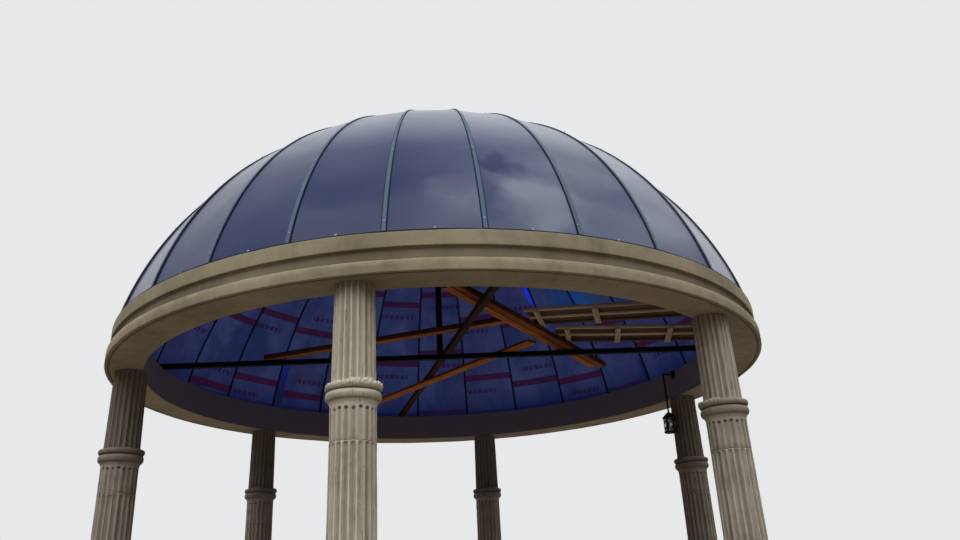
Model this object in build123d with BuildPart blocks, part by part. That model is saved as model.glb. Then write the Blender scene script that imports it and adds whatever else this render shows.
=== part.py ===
"""Domed gazebo: six fluted columns, a moulded concrete ring beam, and a ribbed dome of blue sheet.

The origin is on the ground at the centre of the ring, +Z is up, and -Y points to the front column.
All sizes are in millimetres.
"""

import os
from math import cos, pi, radians, sin, sqrt, tan

from build123d import *

os.makedirs("parts", exist_ok=True)

# Driving dimensions: heights
soffit_height = 3100.0
ring_height = 245.0
dome_rise = 1905.0

# Driving dimensions: ring beam
ring_outer_radius = 2500.0
ring_width = 260.0
lower_fascia_height = 74.0
recess_height = 77.0
recess_setback = 42.0
top_fascia_setback = 20.0
fascia_chamfer = 5.0
drip_inset = 24.0
drip_width = 10.0
drip_depth = 7.0

# Driving dimensions: columns
column_count = 6
column_inset = 178.0
plinth_side = 380.0
plinth_height = 90.0
plinth_ledge = 4.0
base_torus_height = 60.0
base_fillet_height = 26.0
base_upper_torus_height = 38.0
base_upper_torus_reach = 14.0
base_apophyge = 22.0
shaft_foot_radius = 134.0
shaft_joint_radius = 122.0
neck_low_radius = 118.0
neck_top_radius = 111.0
neck_height = 544.0
upper_torus_height = 51.0
lower_torus_height = 44.0
torus_reach = 31.0
lower_torus_inset = 2.0
cavetto_height = 17.0
flute_stop = 20.0
head_drum_height = 172.0
flute_count = 20
flute_mouth_share = 0.74
flute_floor_share = 0.34
shaft_flute_depth_share = 0.13
neck_flute_depth_share = 0.25
flute_end_margin = 40.0

# Driving dimensions: dome
gore_count = 28
first_seam_angle = 4.62
gores_per_node = 4
seams_per_node = 14
dome_foot_inset = 35.0
sheet_thickness = 4.0
sheet_joint = 3.0
rib_width = 18.0
rib_depth = 8.0
cover_width = 34.0
cover_height = 9.0
foot_ring_thickness = 6.0
foot_ring_margin = 8.0
crown_hub_radius = 136.0
crown_hub_height = 46.0
crown_plate = 8.0
crown_cap_lap = 23.0
crown_cap_thickness = 4.0
crown_boss_radius = 22.0
crown_boss_height = 14.0
cover_setback = 36.0
sheet_lap = 18.0

# Driving dimensions: tie and king post
tie_angle = 11.25
tie_side = 40.0
tie_wall = 4.0
tie_bearing = 120.0
tie_notch_depth = 15.0
tie_side_gap = 0.5
post_side = 50.0
post_wall = 4.0

# Driving dimensions: timbers left across the ring, by where each starts, its heading and its length
timber_bearing = 90.0
batten_angle = 127.5
batten_heading = -41.5
batten_width = 100.0
batten_thickness = 25.0
prop_angle = 112.25
prop_heading = -65.5
prop_length = 3900.0
prop_width = 50.0
prop_thickness = 45.0
pair_start_x = 300.0
pair_start_y = -1100.0
pair_heading = 61.0
pair_length = 1985.0
pair_stagger = 60.0
plank_width = 62.0
plank_thickness = 45.0
plank_gap = 8.0
top_tie_reach = -1425.0
top_heading = -0.5
top_width = 75.0
top_thickness = 42.0
top_overhang = -20.0

# Driving dimensions: board frames, by start, heading, width, cross battens and their skew, and seat
board_frames = (
    ("board_frame_front", (790.0, -360.0), -10.0, 370.0, (80.0, 525.0), 6.5, 0.3),
    ("board_frame_rear", (972.0, 28.0), 1.0, 375.0, (90.0, 490.0, 895.0), 0.0, 6.5),
)
rail_width = 45.0
rail_height = 14.0
board_thickness = 12.0
cross_batten_width = 45.0
cross_batten_proud = 12.0

# Driving dimensions: lantern
lantern_angle = 29.2
lantern_reach = 105.0
lantern_arm_rise = 205.0
lantern_drop = 150.0
lantern_sides = 6
lantern_width = 132.0
lantern_height = 180.0
lantern_roof = 48.0
lantern_tray = 14.0
lantern_bar = 8.0
lantern_cap = 18.0
glass_thickness = 3.0
arm_plate_width = 46.0
arm_plate_height = 70.0
arm_plate_thickness = 6.0
arm_rod_radius = 8.0

# Clearances between pieces that seat on each other, and between stacked timbers
seat = 0.3
stack_gap = 0.8

# Heights and radii that follow from the driving dimensions
ring_top = soffit_height + ring_height
ring_inner_radius = ring_outer_radius - ring_width
column_circle_radius = ring_outer_radius - column_inset
dome_foot_radius = ring_outer_radius - dome_foot_inset
bearing_radius = ring_inner_radius + timber_bearing
top_fascia_radius = ring_outer_radius - top_fascia_setback
recess_radius = ring_outer_radius - recess_setback
dome_radius = (dome_foot_radius**2 + dome_rise**2) / (2 * dome_rise)
dome_centre = ring_top + dome_rise - dome_radius
foot_level = ring_top + foot_ring_thickness
gore_step = 360 / gore_count
half_gore = radians(gore_step / 2)
sheet_inner = dome_radius - sheet_thickness
rib_outer = sheet_inner - rib_width / 2 * tan(half_gore) - seat
rib_inner = rib_outer - rib_depth
cover_inner = dome_radius + seat
cover_outer = cover_inner + cover_height
sheet_top_radius = crown_hub_radius - sheet_lap
cover_top_radius = crown_hub_radius + cover_setback
crown_cap_radius = cover_top_radius + crown_cap_lap
column_angles = [-90 + 360 / column_count * k for k in range(column_count)]


def save(piece, name):
    """Label a finished piece and write it as its own STEP file."""
    piece.label = name
    export_step(piece, f"parts/{name}.step")


def dome_height(radius_of_shell, plan_radius):
    """Height above the ground of a shell about the dome's centre, at a distance from the axis."""
    return dome_centre + sqrt(radius_of_shell**2 - plan_radius**2)


def fluted_section(radius, depth_share):
    """Draw a round shaft section with its flutes, of a depth given in pitches, into the open sketch."""
    pitch = 2 * pi * radius / flute_count
    mouth = pitch * flute_mouth_share / 2
    floor = pitch * flute_floor_share / 2
    depth = pitch * depth_share
    slope = (mouth - floor) / depth
    Circle(radius)
    with PolarLocations(0, flute_count):
        Polygon(
            (radius - depth, -floor),
            (radius + depth, -mouth - slope * depth),
            (radius + depth, mouth + slope * depth),
            (radius - depth, floor),
            align=None,
            mode=Mode.SUBTRACT,
        )


def roll(root, reach, low, high):
    """Profile points of a round moulding, as three flats from one root to the other."""
    quarter = (high - low) / 4
    return (root, low), (reach, low + quarter), (reach, high - quarter), (root, high)


# Column base: square plinth, two round mouldings with a fillet between, and a flare to the shaft
base_torus_top = plinth_height + base_torus_height
base_fillet_top = base_torus_top + base_fillet_height
base_upper_torus_top = base_fillet_top + base_upper_torus_height
base_height = base_upper_torus_top + base_apophyge
base_torus_radius = plinth_side / 2 - plinth_ledge
base_torus_root = base_torus_radius - base_torus_height / 2
base_upper_torus_radius = shaft_foot_radius + base_apophyge + base_upper_torus_reach
base_upper_torus_root = base_upper_torus_radius - base_upper_torus_height / 2

with BuildPart() as column_base:
    with BuildSketch():
        Rectangle(plinth_side, plinth_side)
    extrude(amount=plinth_height)
    with BuildSketch(Plane.XZ):
        with BuildLine():
            Polyline(
                (0, plinth_height),
                *roll(base_torus_root, base_torus_radius, plinth_height, base_torus_top),
                *roll(base_upper_torus_root, base_upper_torus_radius, base_fillet_top, base_upper_torus_top),
                (shaft_foot_radius + base_apophyge / 2, base_upper_torus_top),
                (shaft_foot_radius, base_height),
                (0, base_height),
                close=True,
            )
        make_face()
    revolve(axis=Axis.Z)

# Levels of the head's parts, from the soffit down
torus_top = soffit_height - neck_height
torus_mid = torus_top - upper_torus_height
torus_low = torus_mid - lower_torus_height
cavetto_low = torus_low - cavetto_height
flute_top = cavetto_low - flute_stop
joint_level = flute_top - head_drum_height

# Column shaft: a plain foot, then a tapered fluted drum up to the joint
flute_foot = base_height + flute_end_margin

with BuildPart() as column_shaft:
    with BuildSketch(Plane.XY.offset(base_height)):
        Circle(shaft_foot_radius)
    extrude(amount=flute_end_margin)
    for level, radius in ((flute_foot, shaft_foot_radius), (joint_level, shaft_joint_radius)):
        with BuildSketch(Plane.XY.offset(level)):
            fluted_section(radius, shaft_flute_depth_share)
    loft(ruled=True)

# Column head: a short fluted drum, a double round moulding and a fluted neck up to the soffit
torus_radius = neck_low_radius + torus_reach
torus_root = torus_radius - upper_torus_height / 2

with BuildPart() as column_head:
    with BuildSketch(Plane.XY.offset(joint_level)):
        fluted_section(shaft_joint_radius, shaft_flute_depth_share)
    extrude(amount=flute_top - joint_level)
    with BuildSketch(Plane.XZ):
        with BuildLine():
            Polyline(
                (0, flute_top),
                (shaft_joint_radius, flute_top),
                (shaft_joint_radius, cavetto_low),
                *roll(torus_root, torus_radius - lower_torus_inset, torus_low, torus_mid),
                *roll(torus_root, torus_radius, torus_mid, torus_top)[1:],
                (0, torus_top),
                close=True,
            )
        make_face()
    revolve(axis=Axis.Z)
    for level, radius in ((torus_top, neck_low_radius), (soffit_height, neck_top_radius)):
        with BuildSketch(Plane.XY.offset(level)):
            fluted_section(radius, neck_flute_depth_share)
    loft(ruled=True)


def standing(piece, angle):
    """A column piece turned and moved to its place on the column circle."""
    place = (column_circle_radius * cos(radians(angle)), column_circle_radius * sin(radians(angle)), 0)
    return piece.moved(Location(place, (0, 0, angle)))


with BuildPart() as column_bases:
    for angle in column_angles:
        add(standing(column_base.part, angle))
save(column_bases.part, "column_bases")

for number, angle in enumerate(column_angles, start=1):
    save(standing(column_shaft.part, angle), f"column_{number}_shaft")
    save(standing(column_head.part, angle), f"column_{number}_head")

# Ring beam: one segment from column to column, with a lower fascia, a recess, a top fascia and a drip
fascia_top = soffit_height + lower_fascia_height
recess_top = fascia_top + recess_height
drip_outer = ring_outer_radius - drip_inset
drip_inner = drip_outer - drip_width
notch_floor = ring_top - tie_notch_depth

with BuildPart() as beam_segment:
    with BuildSketch(Plane.XZ) as beam_section:
        with BuildLine():
            Polyline(
                (ring_inner_radius, soffit_height),
                (drip_inner, soffit_height),
                (drip_inner, soffit_height + drip_depth),
                (drip_outer, soffit_height + drip_depth),
                (drip_outer, soffit_height),
                (ring_outer_radius - fascia_chamfer, soffit_height),
                (ring_outer_radius, soffit_height + fascia_chamfer),
                (ring_outer_radius, fascia_top - fascia_chamfer),
                (ring_outer_radius - fascia_chamfer, fascia_top),
                (recess_radius, fascia_top),
                (recess_radius, recess_top),
                (top_fascia_radius, recess_top),
                (top_fascia_radius, ring_top - fascia_chamfer),
                (top_fascia_radius - fascia_chamfer, ring_top),
                (ring_inner_radius, ring_top),
                close=True,
            )
        make_face()
    revolve(axis=Axis.Z, revolution_arc=360 / column_count)

tie_length = 2 * (ring_inner_radius + tie_bearing)
tie_plane = Plane(origin=(0, 0, 0), x_dir=(cos(radians(tie_angle)), sin(radians(tie_angle)), 0), z_dir=(0, 0, 1))

with BuildPart() as tie_notch:
    with BuildSketch(tie_plane.offset(notch_floor)):
        Rectangle(tie_length + 2 * tie_side_gap, tie_side + 2 * tie_side_gap)
    extrude(amount=2 * tie_notch_depth)

for number, angle in enumerate(column_angles, start=1):
    with BuildPart() as segment:
        add(beam_segment.part, rotation=(0, 0, angle))
        add(tie_notch.part, mode=Mode.SUBTRACT)
    save(segment.part, f"ring_beam_{number}")

# Foot ring: the flat steel bar on the ring beam that the ribs and sheets stand on
foot_ring_outer = sqrt(cover_outer**2 - (ring_top - dome_centre) ** 2) - cover_height + foot_ring_margin
foot_ring_inner = sqrt(rib_inner**2 - (foot_level - dome_centre) ** 2) - foot_ring_margin

with BuildPart() as foot_ring:
    with BuildSketch(Plane.XY.offset(ring_top)):
        Circle(foot_ring_outer)
        Circle(foot_ring_inner, mode=Mode.SUBTRACT)
    extrude(amount=foot_ring_thickness)
save(foot_ring.part, "foot_ring")

# One rib: a flat bar rolled to a circle in the plane of a seam
with BuildPart() as rib:
    with BuildSketch(Plane.XZ):
        with Locations((0, dome_centre)):
            Circle(rib_outer)
            Circle(rib_inner, mode=Mode.SUBTRACT)
        with Locations((crown_hub_radius, foot_level)):
            Rectangle(dome_radius, dome_radius, align=(Align.MIN, Align.MIN), mode=Mode.INTERSECT)
    extrude(amount=rib_width / 2, both=True)

# One cover strip: a low flat bar, rolled over the seam outside
with BuildPart() as cover:
    with BuildSketch(Plane.XZ):
        with Locations((0, dome_centre)):
            Circle(cover_outer)
            Circle(cover_inner, mode=Mode.SUBTRACT)
        with Locations((cover_top_radius, foot_level + seat)):
            Rectangle(dome_radius, dome_radius, align=(Align.MIN, Align.MIN), mode=Mode.INTERSECT)
    extrude(amount=cover_width / 2, both=True)

# One gore: a flat sheet bent only from foot to crown, cut on the two seam planes
flatten = cos(half_gore)
with BuildPart() as gore:
    with BuildSketch(Plane.XZ):
        with Locations((0, dome_centre)):
            Ellipse(dome_radius * flatten, dome_radius)
            Ellipse(sheet_inner * flatten, sheet_inner, mode=Mode.SUBTRACT)
        with Locations((sheet_top_radius, foot_level)):
            Rectangle(dome_radius, dome_radius, align=(Align.MIN, Align.MIN), mode=Mode.INTERSECT)
    extrude(amount=dome_radius * tan(half_gore), both=True)
    with BuildSketch(Plane.XY.offset(foot_level)):
        with BuildLine():
            wedge_start = sheet_joint / 2 / sin(half_gore)
            wedge_half = (2 * dome_radius - wedge_start) * tan(half_gore)
            Polyline((wedge_start, 0), (2 * dome_radius, wedge_half), (2 * dome_radius, -wedge_half), close=True)
        make_face()
    extrude(amount=dome_rise, mode=Mode.INTERSECT)

for group in range(gore_count // seams_per_node):
    seam = first_seam_angle + gore_step * seams_per_node * group
    spread = gore_step * seams_per_node
    with BuildPart() as ribs:
        with PolarLocations(0, seams_per_node, start_angle=seam, angular_range=spread):
            add(rib.part)
    save(ribs.part, f"dome_ribs_{group + 1}")
    with BuildPart() as covers:
        with PolarLocations(0, seams_per_node, start_angle=seam, angular_range=spread):
            add(cover.part)
    save(covers.part, f"cover_strips_{group + 1}")

for group in range(gore_count // gores_per_node):
    middle = first_seam_angle + gore_step * (gores_per_node * group + 0.5)
    with BuildPart() as sheets:
        with PolarLocations(0, gores_per_node, start_angle=middle, angular_range=gore_step * gores_per_node):
            add(gore.part)
    save(sheets.part, f"dome_sheets_{group + 1}")

# Crown: the hub that the ribs butt on inside, and the cap over the ends of the cover strips
hub_top = dome_height(rib_outer, crown_hub_radius)
with BuildPart() as crown_hub:
    with BuildSketch(Plane.XY.offset(hub_top - crown_hub_height)):
        Circle(crown_hub_radius - seat)
    extrude(amount=crown_hub_height)
    with BuildSketch(Plane.XY.offset(hub_top)):
        Circle(crown_hub_radius - crown_plate)
    extrude(amount=-(crown_hub_height - crown_plate), mode=Mode.SUBTRACT)
save(crown_hub.part, "crown_hub")

cap_inner = cover_outer + seat
with BuildPart() as crown_cap:
    with BuildSketch(Plane.XZ):
        with Locations((0, dome_centre)):
            Circle(cap_inner + crown_cap_thickness)
            Circle(cap_inner, mode=Mode.SUBTRACT)
        with Locations((0, dome_centre)):
            Rectangle(crown_cap_radius, 2 * dome_radius, align=(Align.MIN, Align.MIN), mode=Mode.INTERSECT)
    revolve(axis=Axis.Z)
    with BuildSketch(Plane.XY.offset(dome_height(cap_inner, 0) + crown_cap_thickness / 2)):
        Circle(crown_boss_radius)
    extrude(amount=crown_boss_height)
save(crown_cap.part, "crown_cap")

# Tie: a square tube across the ring, let into the top of the beam at both ends
with BuildPart() as tie:
    with BuildSketch(tie_plane.offset(notch_floor)):
        Rectangle(tie_length, tie_side)
    extrude(amount=tie_side)
    tie_end = Plane(origin=(0, 0, notch_floor + tie_side / 2), z_dir=tie_plane.x_dir)
    with BuildSketch(tie_end):
        Rectangle(tie_side - 2 * tie_wall, tie_side - 2 * tie_wall)
    extrude(amount=tie_length, both=True, mode=Mode.SUBTRACT)
save(tie.part, "tie_tube")

# King post: a square tube from the tie to the crown hub
tie_top = notch_floor + tie_side
post_length = hub_top - crown_hub_height - tie_top
with BuildPart() as king_post:
    with BuildSketch(tie_plane.offset(tie_top)):
        Rectangle(post_side, post_side)
        Rectangle(post_side - 2 * post_wall, post_side - 2 * post_wall, mode=Mode.SUBTRACT)
    extrude(amount=post_length)
save(king_post.part, "king_post")


def timber(start, heading, length, low_start, low_end, width, thickness):
    """A sawn timber from a plan point along a heading, its underside rising between two heights."""
    along = Vector(cos(radians(heading)), sin(radians(heading)), 0)
    run = along * length + Vector(0, 0, low_end - low_start)
    across = Vector(-along.Y, along.X, 0)
    with BuildPart() as bar:
        with BuildSketch(Plane(origin=(start[0], start[1], low_start), x_dir=across, z_dir=run)):
            Rectangle(width, thickness, align=(Align.CENTER, Align.MIN))
        extrude(amount=run.length)
    return bar.part


def on_ring(angle):
    """Plan point on top of the beam, where a timber's end bears, at an angle round the ring."""
    return (bearing_radius * cos(radians(angle)), bearing_radius * sin(radians(angle)))


def crossing(start, heading, other_start, other_heading):
    """Distance along one plan line to the point where it crosses another."""
    turn_angle = radians(other_heading - heading)
    offset_x = other_start[0] - start[0]
    offset_y = other_start[1] - start[1]
    other = radians(other_heading)
    return (offset_x * sin(other) - offset_y * cos(other)) / sin(turn_angle)


def height_at(low_start, low_end, length, distance):
    """Height of a timber's underside at a distance along it."""
    return low_start + (low_end - low_start) * distance / length


def reach_height(low_start, distance, height, length):
    """Underside height at a timber's far end, so that it passes a support at the right height."""
    return low_start + (height - low_start) * length / distance


def edge_lift(slope, width, under_slope, under_width, angle, gap=stack_gap):
    """Rise of a timber's underside over its support's top, at their crossing, when only an edge bears."""
    turn_angle = radians(angle)
    along = abs(slope - under_slope * cos(turn_angle)) * under_width
    across = abs(slope * cos(turn_angle) - under_slope) * width
    return (along + across) / (2 * abs(sin(turn_angle))) + gap


# Rear batten: from the top of the beam over the tie, to the side of the pair of planks
centre = (0, 0)
pair_start = (pair_start_x, pair_start_y)
pair_width = 2 * plank_width + plank_gap
batten_start = on_ring(batten_angle)
batten_low = ring_top + seat
batten_turn = radians(pair_heading - batten_heading)
batten_stop = (pair_width / sin(batten_turn) + batten_width / abs(tan(batten_turn))) / 2 + stack_gap
batten_length = crossing(batten_start, batten_heading, pair_start, pair_heading) - batten_stop
batten_over_tie = crossing(batten_start, batten_heading, centre, tie_angle)
batten_slope = (tie_top - ring_top) / batten_over_tie
batten_lift = edge_lift(batten_slope, batten_width, 0, tie_side, tie_angle - batten_heading)
batten_end = reach_height(batten_low, batten_over_tie, tie_top + batten_lift, batten_length)
batten_slope = (batten_end - batten_low) / batten_length
rear_batten = timber(
    batten_start, batten_heading, batten_length, batten_low, batten_end, batten_width, batten_thickness
)
save(rear_batten, "rear_batten")

# Long prop: from the rear of the beam over the batten, beside the king post, towards the front
prop_start = on_ring(prop_angle)
prop_low = ring_top + seat
prop_over_batten = crossing(prop_start, prop_heading, batten_start, batten_heading)
batten_under_prop = crossing(batten_start, batten_heading, prop_start, prop_heading)
batten_height = height_at(batten_low, batten_end, batten_length, batten_under_prop) + batten_thickness
prop_slope = (batten_height - prop_low) / prop_over_batten
prop_lift = edge_lift(prop_slope, prop_width, batten_slope, batten_width, prop_heading - batten_heading)
prop_end = reach_height(prop_low, prop_over_batten, batten_height + prop_lift, prop_length)
prop_slope = (prop_end - prop_low) / prop_length
long_prop = timber(prop_start, prop_heading, prop_length, prop_low, prop_end, prop_width, prop_thickness)
save(long_prop, "long_prop")

# Pair of planks: over the tie at the rear and over the long prop at the front
pair_over_tie = crossing(pair_start, pair_heading, centre, tie_angle)
pair_over_prop = crossing(pair_start, pair_heading, prop_start, prop_heading)
prop_under_pair = crossing(prop_start, prop_heading, pair_start, pair_heading)
prop_height = height_at(prop_low, prop_end, prop_length, prop_under_pair) + prop_thickness
pair_slope = (prop_height - tie_top) / (pair_over_prop - pair_over_tie)
tie_lift = edge_lift(pair_slope, pair_width, 0, tie_side, tie_angle - pair_heading, seat)
front_lift = edge_lift(pair_slope, pair_width, prop_slope, prop_width, prop_heading - pair_heading)
pair_slope = (prop_height + front_lift - tie_top - tie_lift) / (pair_over_prop - pair_over_tie)
pair_low = tie_top + tie_lift - pair_slope * pair_over_tie
pair_end = pair_low + pair_slope * pair_length
pair_across = radians(pair_heading + 90)
with BuildPart() as plank_pair:
    for side, length in ((1, pair_length), (-1, pair_length + pair_stagger)):
        shift = side * (plank_width + plank_gap) / 2
        plank_start = (pair_start[0] + shift * cos(pair_across), pair_start[1] + shift * sin(pair_across))
        plank_end = height_at(pair_low, pair_end, pair_length, length)
        add(timber(plank_start, pair_heading, length, pair_low, plank_end, plank_width, plank_thickness))
save(plank_pair.part, "plank_pair")

# Long batten: from the top of the tie to the pair of planks, clear of the prop between
top_start = (top_tie_reach * cos(radians(tie_angle)), top_tie_reach * sin(radians(tie_angle)))
top_low = tie_top + seat
top_over_pair = crossing(top_start, top_heading, pair_start, pair_heading)
pair_under_top = crossing(pair_start, pair_heading, top_start, top_heading)
top_over_prop = crossing(top_start, top_heading, prop_start, prop_heading)
prop_under_top = crossing(prop_start, prop_heading, top_start, top_heading)
pair_height = height_at(pair_low, pair_end, pair_length, pair_under_top) + plank_thickness
top_length = top_over_pair + top_overhang
top_slope = (pair_height - top_low) / top_over_pair
pair_lift = edge_lift(top_slope, top_width, pair_slope, pair_width, pair_heading - top_heading)
height_over_prop = height_at(prop_low, prop_end, prop_length, prop_under_top) + prop_thickness
top_lift = edge_lift(top_slope, top_width, prop_slope, prop_width, prop_heading - top_heading)
top_end = max(
    reach_height(top_low, top_over_pair, pair_height + pair_lift, top_length),
    reach_height(top_low, top_over_prop, height_over_prop + top_lift, top_length),
)
long_batten = timber(top_start, top_heading, top_length, top_low, top_end, top_width, top_thickness)
save(long_batten, "long_batten")


def board_frame(length, width, batten_places, skew):
    """A panel seen from below: a board on three rails, with cross battens under them at a skew."""
    with BuildPart() as frame:
        with BuildSketch(Plane.XY.offset(rail_height)):
            Rectangle(length, width, align=(Align.MIN, Align.CENTER))
        extrude(amount=board_thickness)
        with BuildSketch():
            for side in (-1, 0, 1):
                with Locations((0, side * (width - rail_width) / 2)):
                    Rectangle(length, rail_width, align=(Align.MIN, Align.CENTER))
        extrude(amount=rail_height)
        with BuildSketch():
            for place in batten_places:
                with Locations((place, 0)):
                    Rectangle(cross_batten_width, width, rotation=skew)
        extrude(amount=-cross_batten_proud)
    return frame.part


# Board frames: two panels from the pair of planks to the top of the beam
for label, frame_start, frame_heading, frame_width, places, skew, frame_seat in board_frames:
    towards = radians(frame_heading)
    half_chord = frame_start[0] * cos(towards) + frame_start[1] * sin(towards)
    off_axis = frame_start[1] * cos(towards) - frame_start[0] * sin(towards)
    frame_length = sqrt(bearing_radius**2 - off_axis**2) - half_chord
    pair_below = crossing(pair_start, pair_heading, frame_start, frame_heading)
    frame_low = height_at(pair_low, pair_end, pair_length, pair_below) + plank_thickness + frame_seat
    frame_drop = frame_low - ring_top - seat
    run_dir = (frame_length * cos(towards), frame_length * sin(towards), -frame_drop)
    across_dir = (-sin(towards), cos(towards), 0)
    frame_origin = (frame_start[0], frame_start[1], frame_low)
    place_plane = Plane(origin=frame_origin, x_dir=run_dir, z_dir=Vector(run_dir).cross(Vector(across_dir)))
    panel = board_frame(frame_length, frame_width, places, skew)
    save(panel.moved(place_plane.location), label)

# Lantern: an arm on the inner face of the beam, a rod, and a small glazed lantern
lantern_turn = radians(lantern_angle)
lantern_radius = ring_inner_radius - lantern_reach
lantern_centre = (lantern_radius * cos(lantern_turn), lantern_radius * sin(lantern_turn))
arm_height = soffit_height + lantern_arm_rise
lantern_top = soffit_height - lantern_drop
arm_plane = Plane(
    origin=(0, 0, arm_height),
    x_dir=(-sin(lantern_turn), cos(lantern_turn), 0),
    z_dir=(cos(lantern_turn), sin(lantern_turn), 0),
)

with BuildPart() as lantern_arm:
    with BuildSketch(arm_plane.offset(ring_inner_radius - seat - arm_plate_thickness)):
        Rectangle(arm_plate_width, arm_plate_height)
    extrude(amount=arm_plate_thickness)
    with BuildSketch(arm_plane.offset(lantern_radius)):
        Circle(arm_rod_radius)
    extrude(amount=ring_inner_radius - lantern_radius - arm_plate_thickness)
    with BuildSketch(Plane(origin=(*lantern_centre, lantern_top))):
        Circle(arm_rod_radius)
    extrude(amount=arm_height - lantern_top)
save(lantern_arm.part, "lantern_arm")

lantern_low = lantern_top - lantern_height
cage_low = lantern_low + lantern_tray
cage_high = lantern_top - lantern_roof
tray_radius = (lantern_width - lantern_tray) / 2
bar_radius = tray_radius - lantern_bar
glass_radius = bar_radius - lantern_bar - seat
with BuildPart() as lantern:
    with BuildSketch(Plane(origin=(*lantern_centre, cage_high))):
        RegularPolygon(lantern_width / 2, lantern_sides)
    with BuildSketch(Plane(origin=(*lantern_centre, lantern_top))):
        RegularPolygon(lantern_cap, lantern_sides)
    loft(ruled=True)
    with BuildSketch(Plane(origin=(*lantern_centre, lantern_low))):
        RegularPolygon(tray_radius, lantern_sides)
    extrude(amount=lantern_tray)
    with BuildSketch(Plane(origin=(*lantern_centre, cage_low))):
        with PolarLocations(bar_radius, lantern_sides):
            Rectangle(lantern_bar, lantern_bar)
    extrude(amount=cage_high - cage_low)
save(lantern.part, "lantern")

with BuildPart() as lantern_glass:
    with BuildSketch(Plane(origin=(*lantern_centre, cage_low))):
        Circle(glass_radius)
        Circle(glass_radius - glass_thickness, mode=Mode.SUBTRACT)
    extrude(amount=cage_high - cage_low)
save(lantern_glass.part, "lantern_glass")
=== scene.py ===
# %% [markdown]
# # A domed gazebo
#
# Six fluted concrete columns carry a moulded ring beam, and a ribbed dome of dark blue sheet stands
# on the beam. The dome is new: its underside still wears a printed film, and the builders' timbers
# still lie across the ring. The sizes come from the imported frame, so every piece made here lands
# where the construction has it. All lengths are in metres, +Z is up and -Y points to the front column.

import math

import bmesh
import bpy
import numpy as np
from mathutils import Matrix, Vector, noise


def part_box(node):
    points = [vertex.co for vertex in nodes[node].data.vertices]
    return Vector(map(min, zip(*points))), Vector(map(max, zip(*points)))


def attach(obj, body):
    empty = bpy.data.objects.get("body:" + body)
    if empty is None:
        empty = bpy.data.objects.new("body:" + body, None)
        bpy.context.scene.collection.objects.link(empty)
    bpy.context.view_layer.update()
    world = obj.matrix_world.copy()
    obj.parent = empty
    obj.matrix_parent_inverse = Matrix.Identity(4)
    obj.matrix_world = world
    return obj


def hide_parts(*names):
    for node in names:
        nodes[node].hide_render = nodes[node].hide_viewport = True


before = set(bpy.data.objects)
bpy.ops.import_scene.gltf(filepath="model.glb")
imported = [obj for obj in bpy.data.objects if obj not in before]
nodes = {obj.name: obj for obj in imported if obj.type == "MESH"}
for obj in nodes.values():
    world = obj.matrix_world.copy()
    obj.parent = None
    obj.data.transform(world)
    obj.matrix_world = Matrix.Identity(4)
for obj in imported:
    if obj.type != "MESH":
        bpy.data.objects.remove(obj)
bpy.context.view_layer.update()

# %% [markdown]
# ## Measure the construction
#
# A node's vertices say where it is. `points_of` reads them once as an array, and the radii and
# levels that the finer meshes need are measured from it, so nothing is typed twice. Only the
# dome's own two sizes are written, because a sphere is easier to state than to fit.

# %% Levels and radii
def points_of(name):
    """All vertices of a CAD node as an array of rows x, y, z."""
    mesh = nodes[name].data
    flat = np.zeros(len(mesh.vertices) * 3)
    mesh.vertices.foreach_get("co", flat)
    return flat.reshape(-1, 3)


beam_points = points_of("ring_beam_1")
beam_reach = np.hypot(beam_points[:, 0], beam_points[:, 1])
soffit, ring_top = beam_points[:, 2].min(), beam_points[:, 2].max()
ring_outer, ring_inner = beam_reach.max(), beam_reach.min()

column_count = 6
column_angles = [-90 + 360 / column_count * k for k in range(column_count)]
head_low, head_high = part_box("column_1_head")
column_circle = -(head_low.y + head_high.y) / 2
joint_level = head_low.z

dome_foot_radius = 2.465
dome_rise = 1.905
dome_radius = (dome_foot_radius**2 + dome_rise**2) / (2 * dome_rise)
dome_centre = ring_top + dome_rise - dome_radius
gore_count = 28
gore_step = 2 * math.pi / gore_count
half_gore = gore_step / 2
first_seam = math.radians(4.62)
print(f"soffit {soffit:.3f}, ring top {ring_top:.3f}, ring {ring_inner:.3f} to {ring_outer:.3f}")
print(f"column circle {column_circle:.3f}, joint {joint_level:.3f}, dome radius {dome_radius:.4f}")

# %% [markdown]
# ## Two ways to make a mesh
#
# Almost every piece here is a grid of points bent into a shape: the beam is a profile turned round
# the axis, a column is a circle of points carried upward, and a gore is a flat grid bent over the
# dome. So one helper turns a grid of points into faces, and another makes the object. Each mesh
# also carries a `skin` value per point: how far round it lies, how far along, and how hollow the
# place is. Materials read it to run streaks down a face and to paint shade into the grooves and
# recesses. A hollow value below zero marks a raised place that takes a painted highlight, partly
# pale dust and mortar, and 2 marks the inner wall of the ring, which is painted in shade.

# %% Grid and object helpers
def grid_faces(rows, columns, wrap=False, start=0):
    """Faces of a grid whose points are stored row by row; wrap joins the last column to the first."""
    last = columns if wrap else columns - 1
    row, column = np.meshgrid(np.arange(rows - 1), np.arange(last), indexing="ij")
    after = (column + 1) % columns
    here, above = row * columns, (row + 1) * columns
    corners = (here + column, here + after, above + after, above + column)
    return (np.stack(corners, axis=-1).reshape(-1, 4) + start).tolist()


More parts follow.
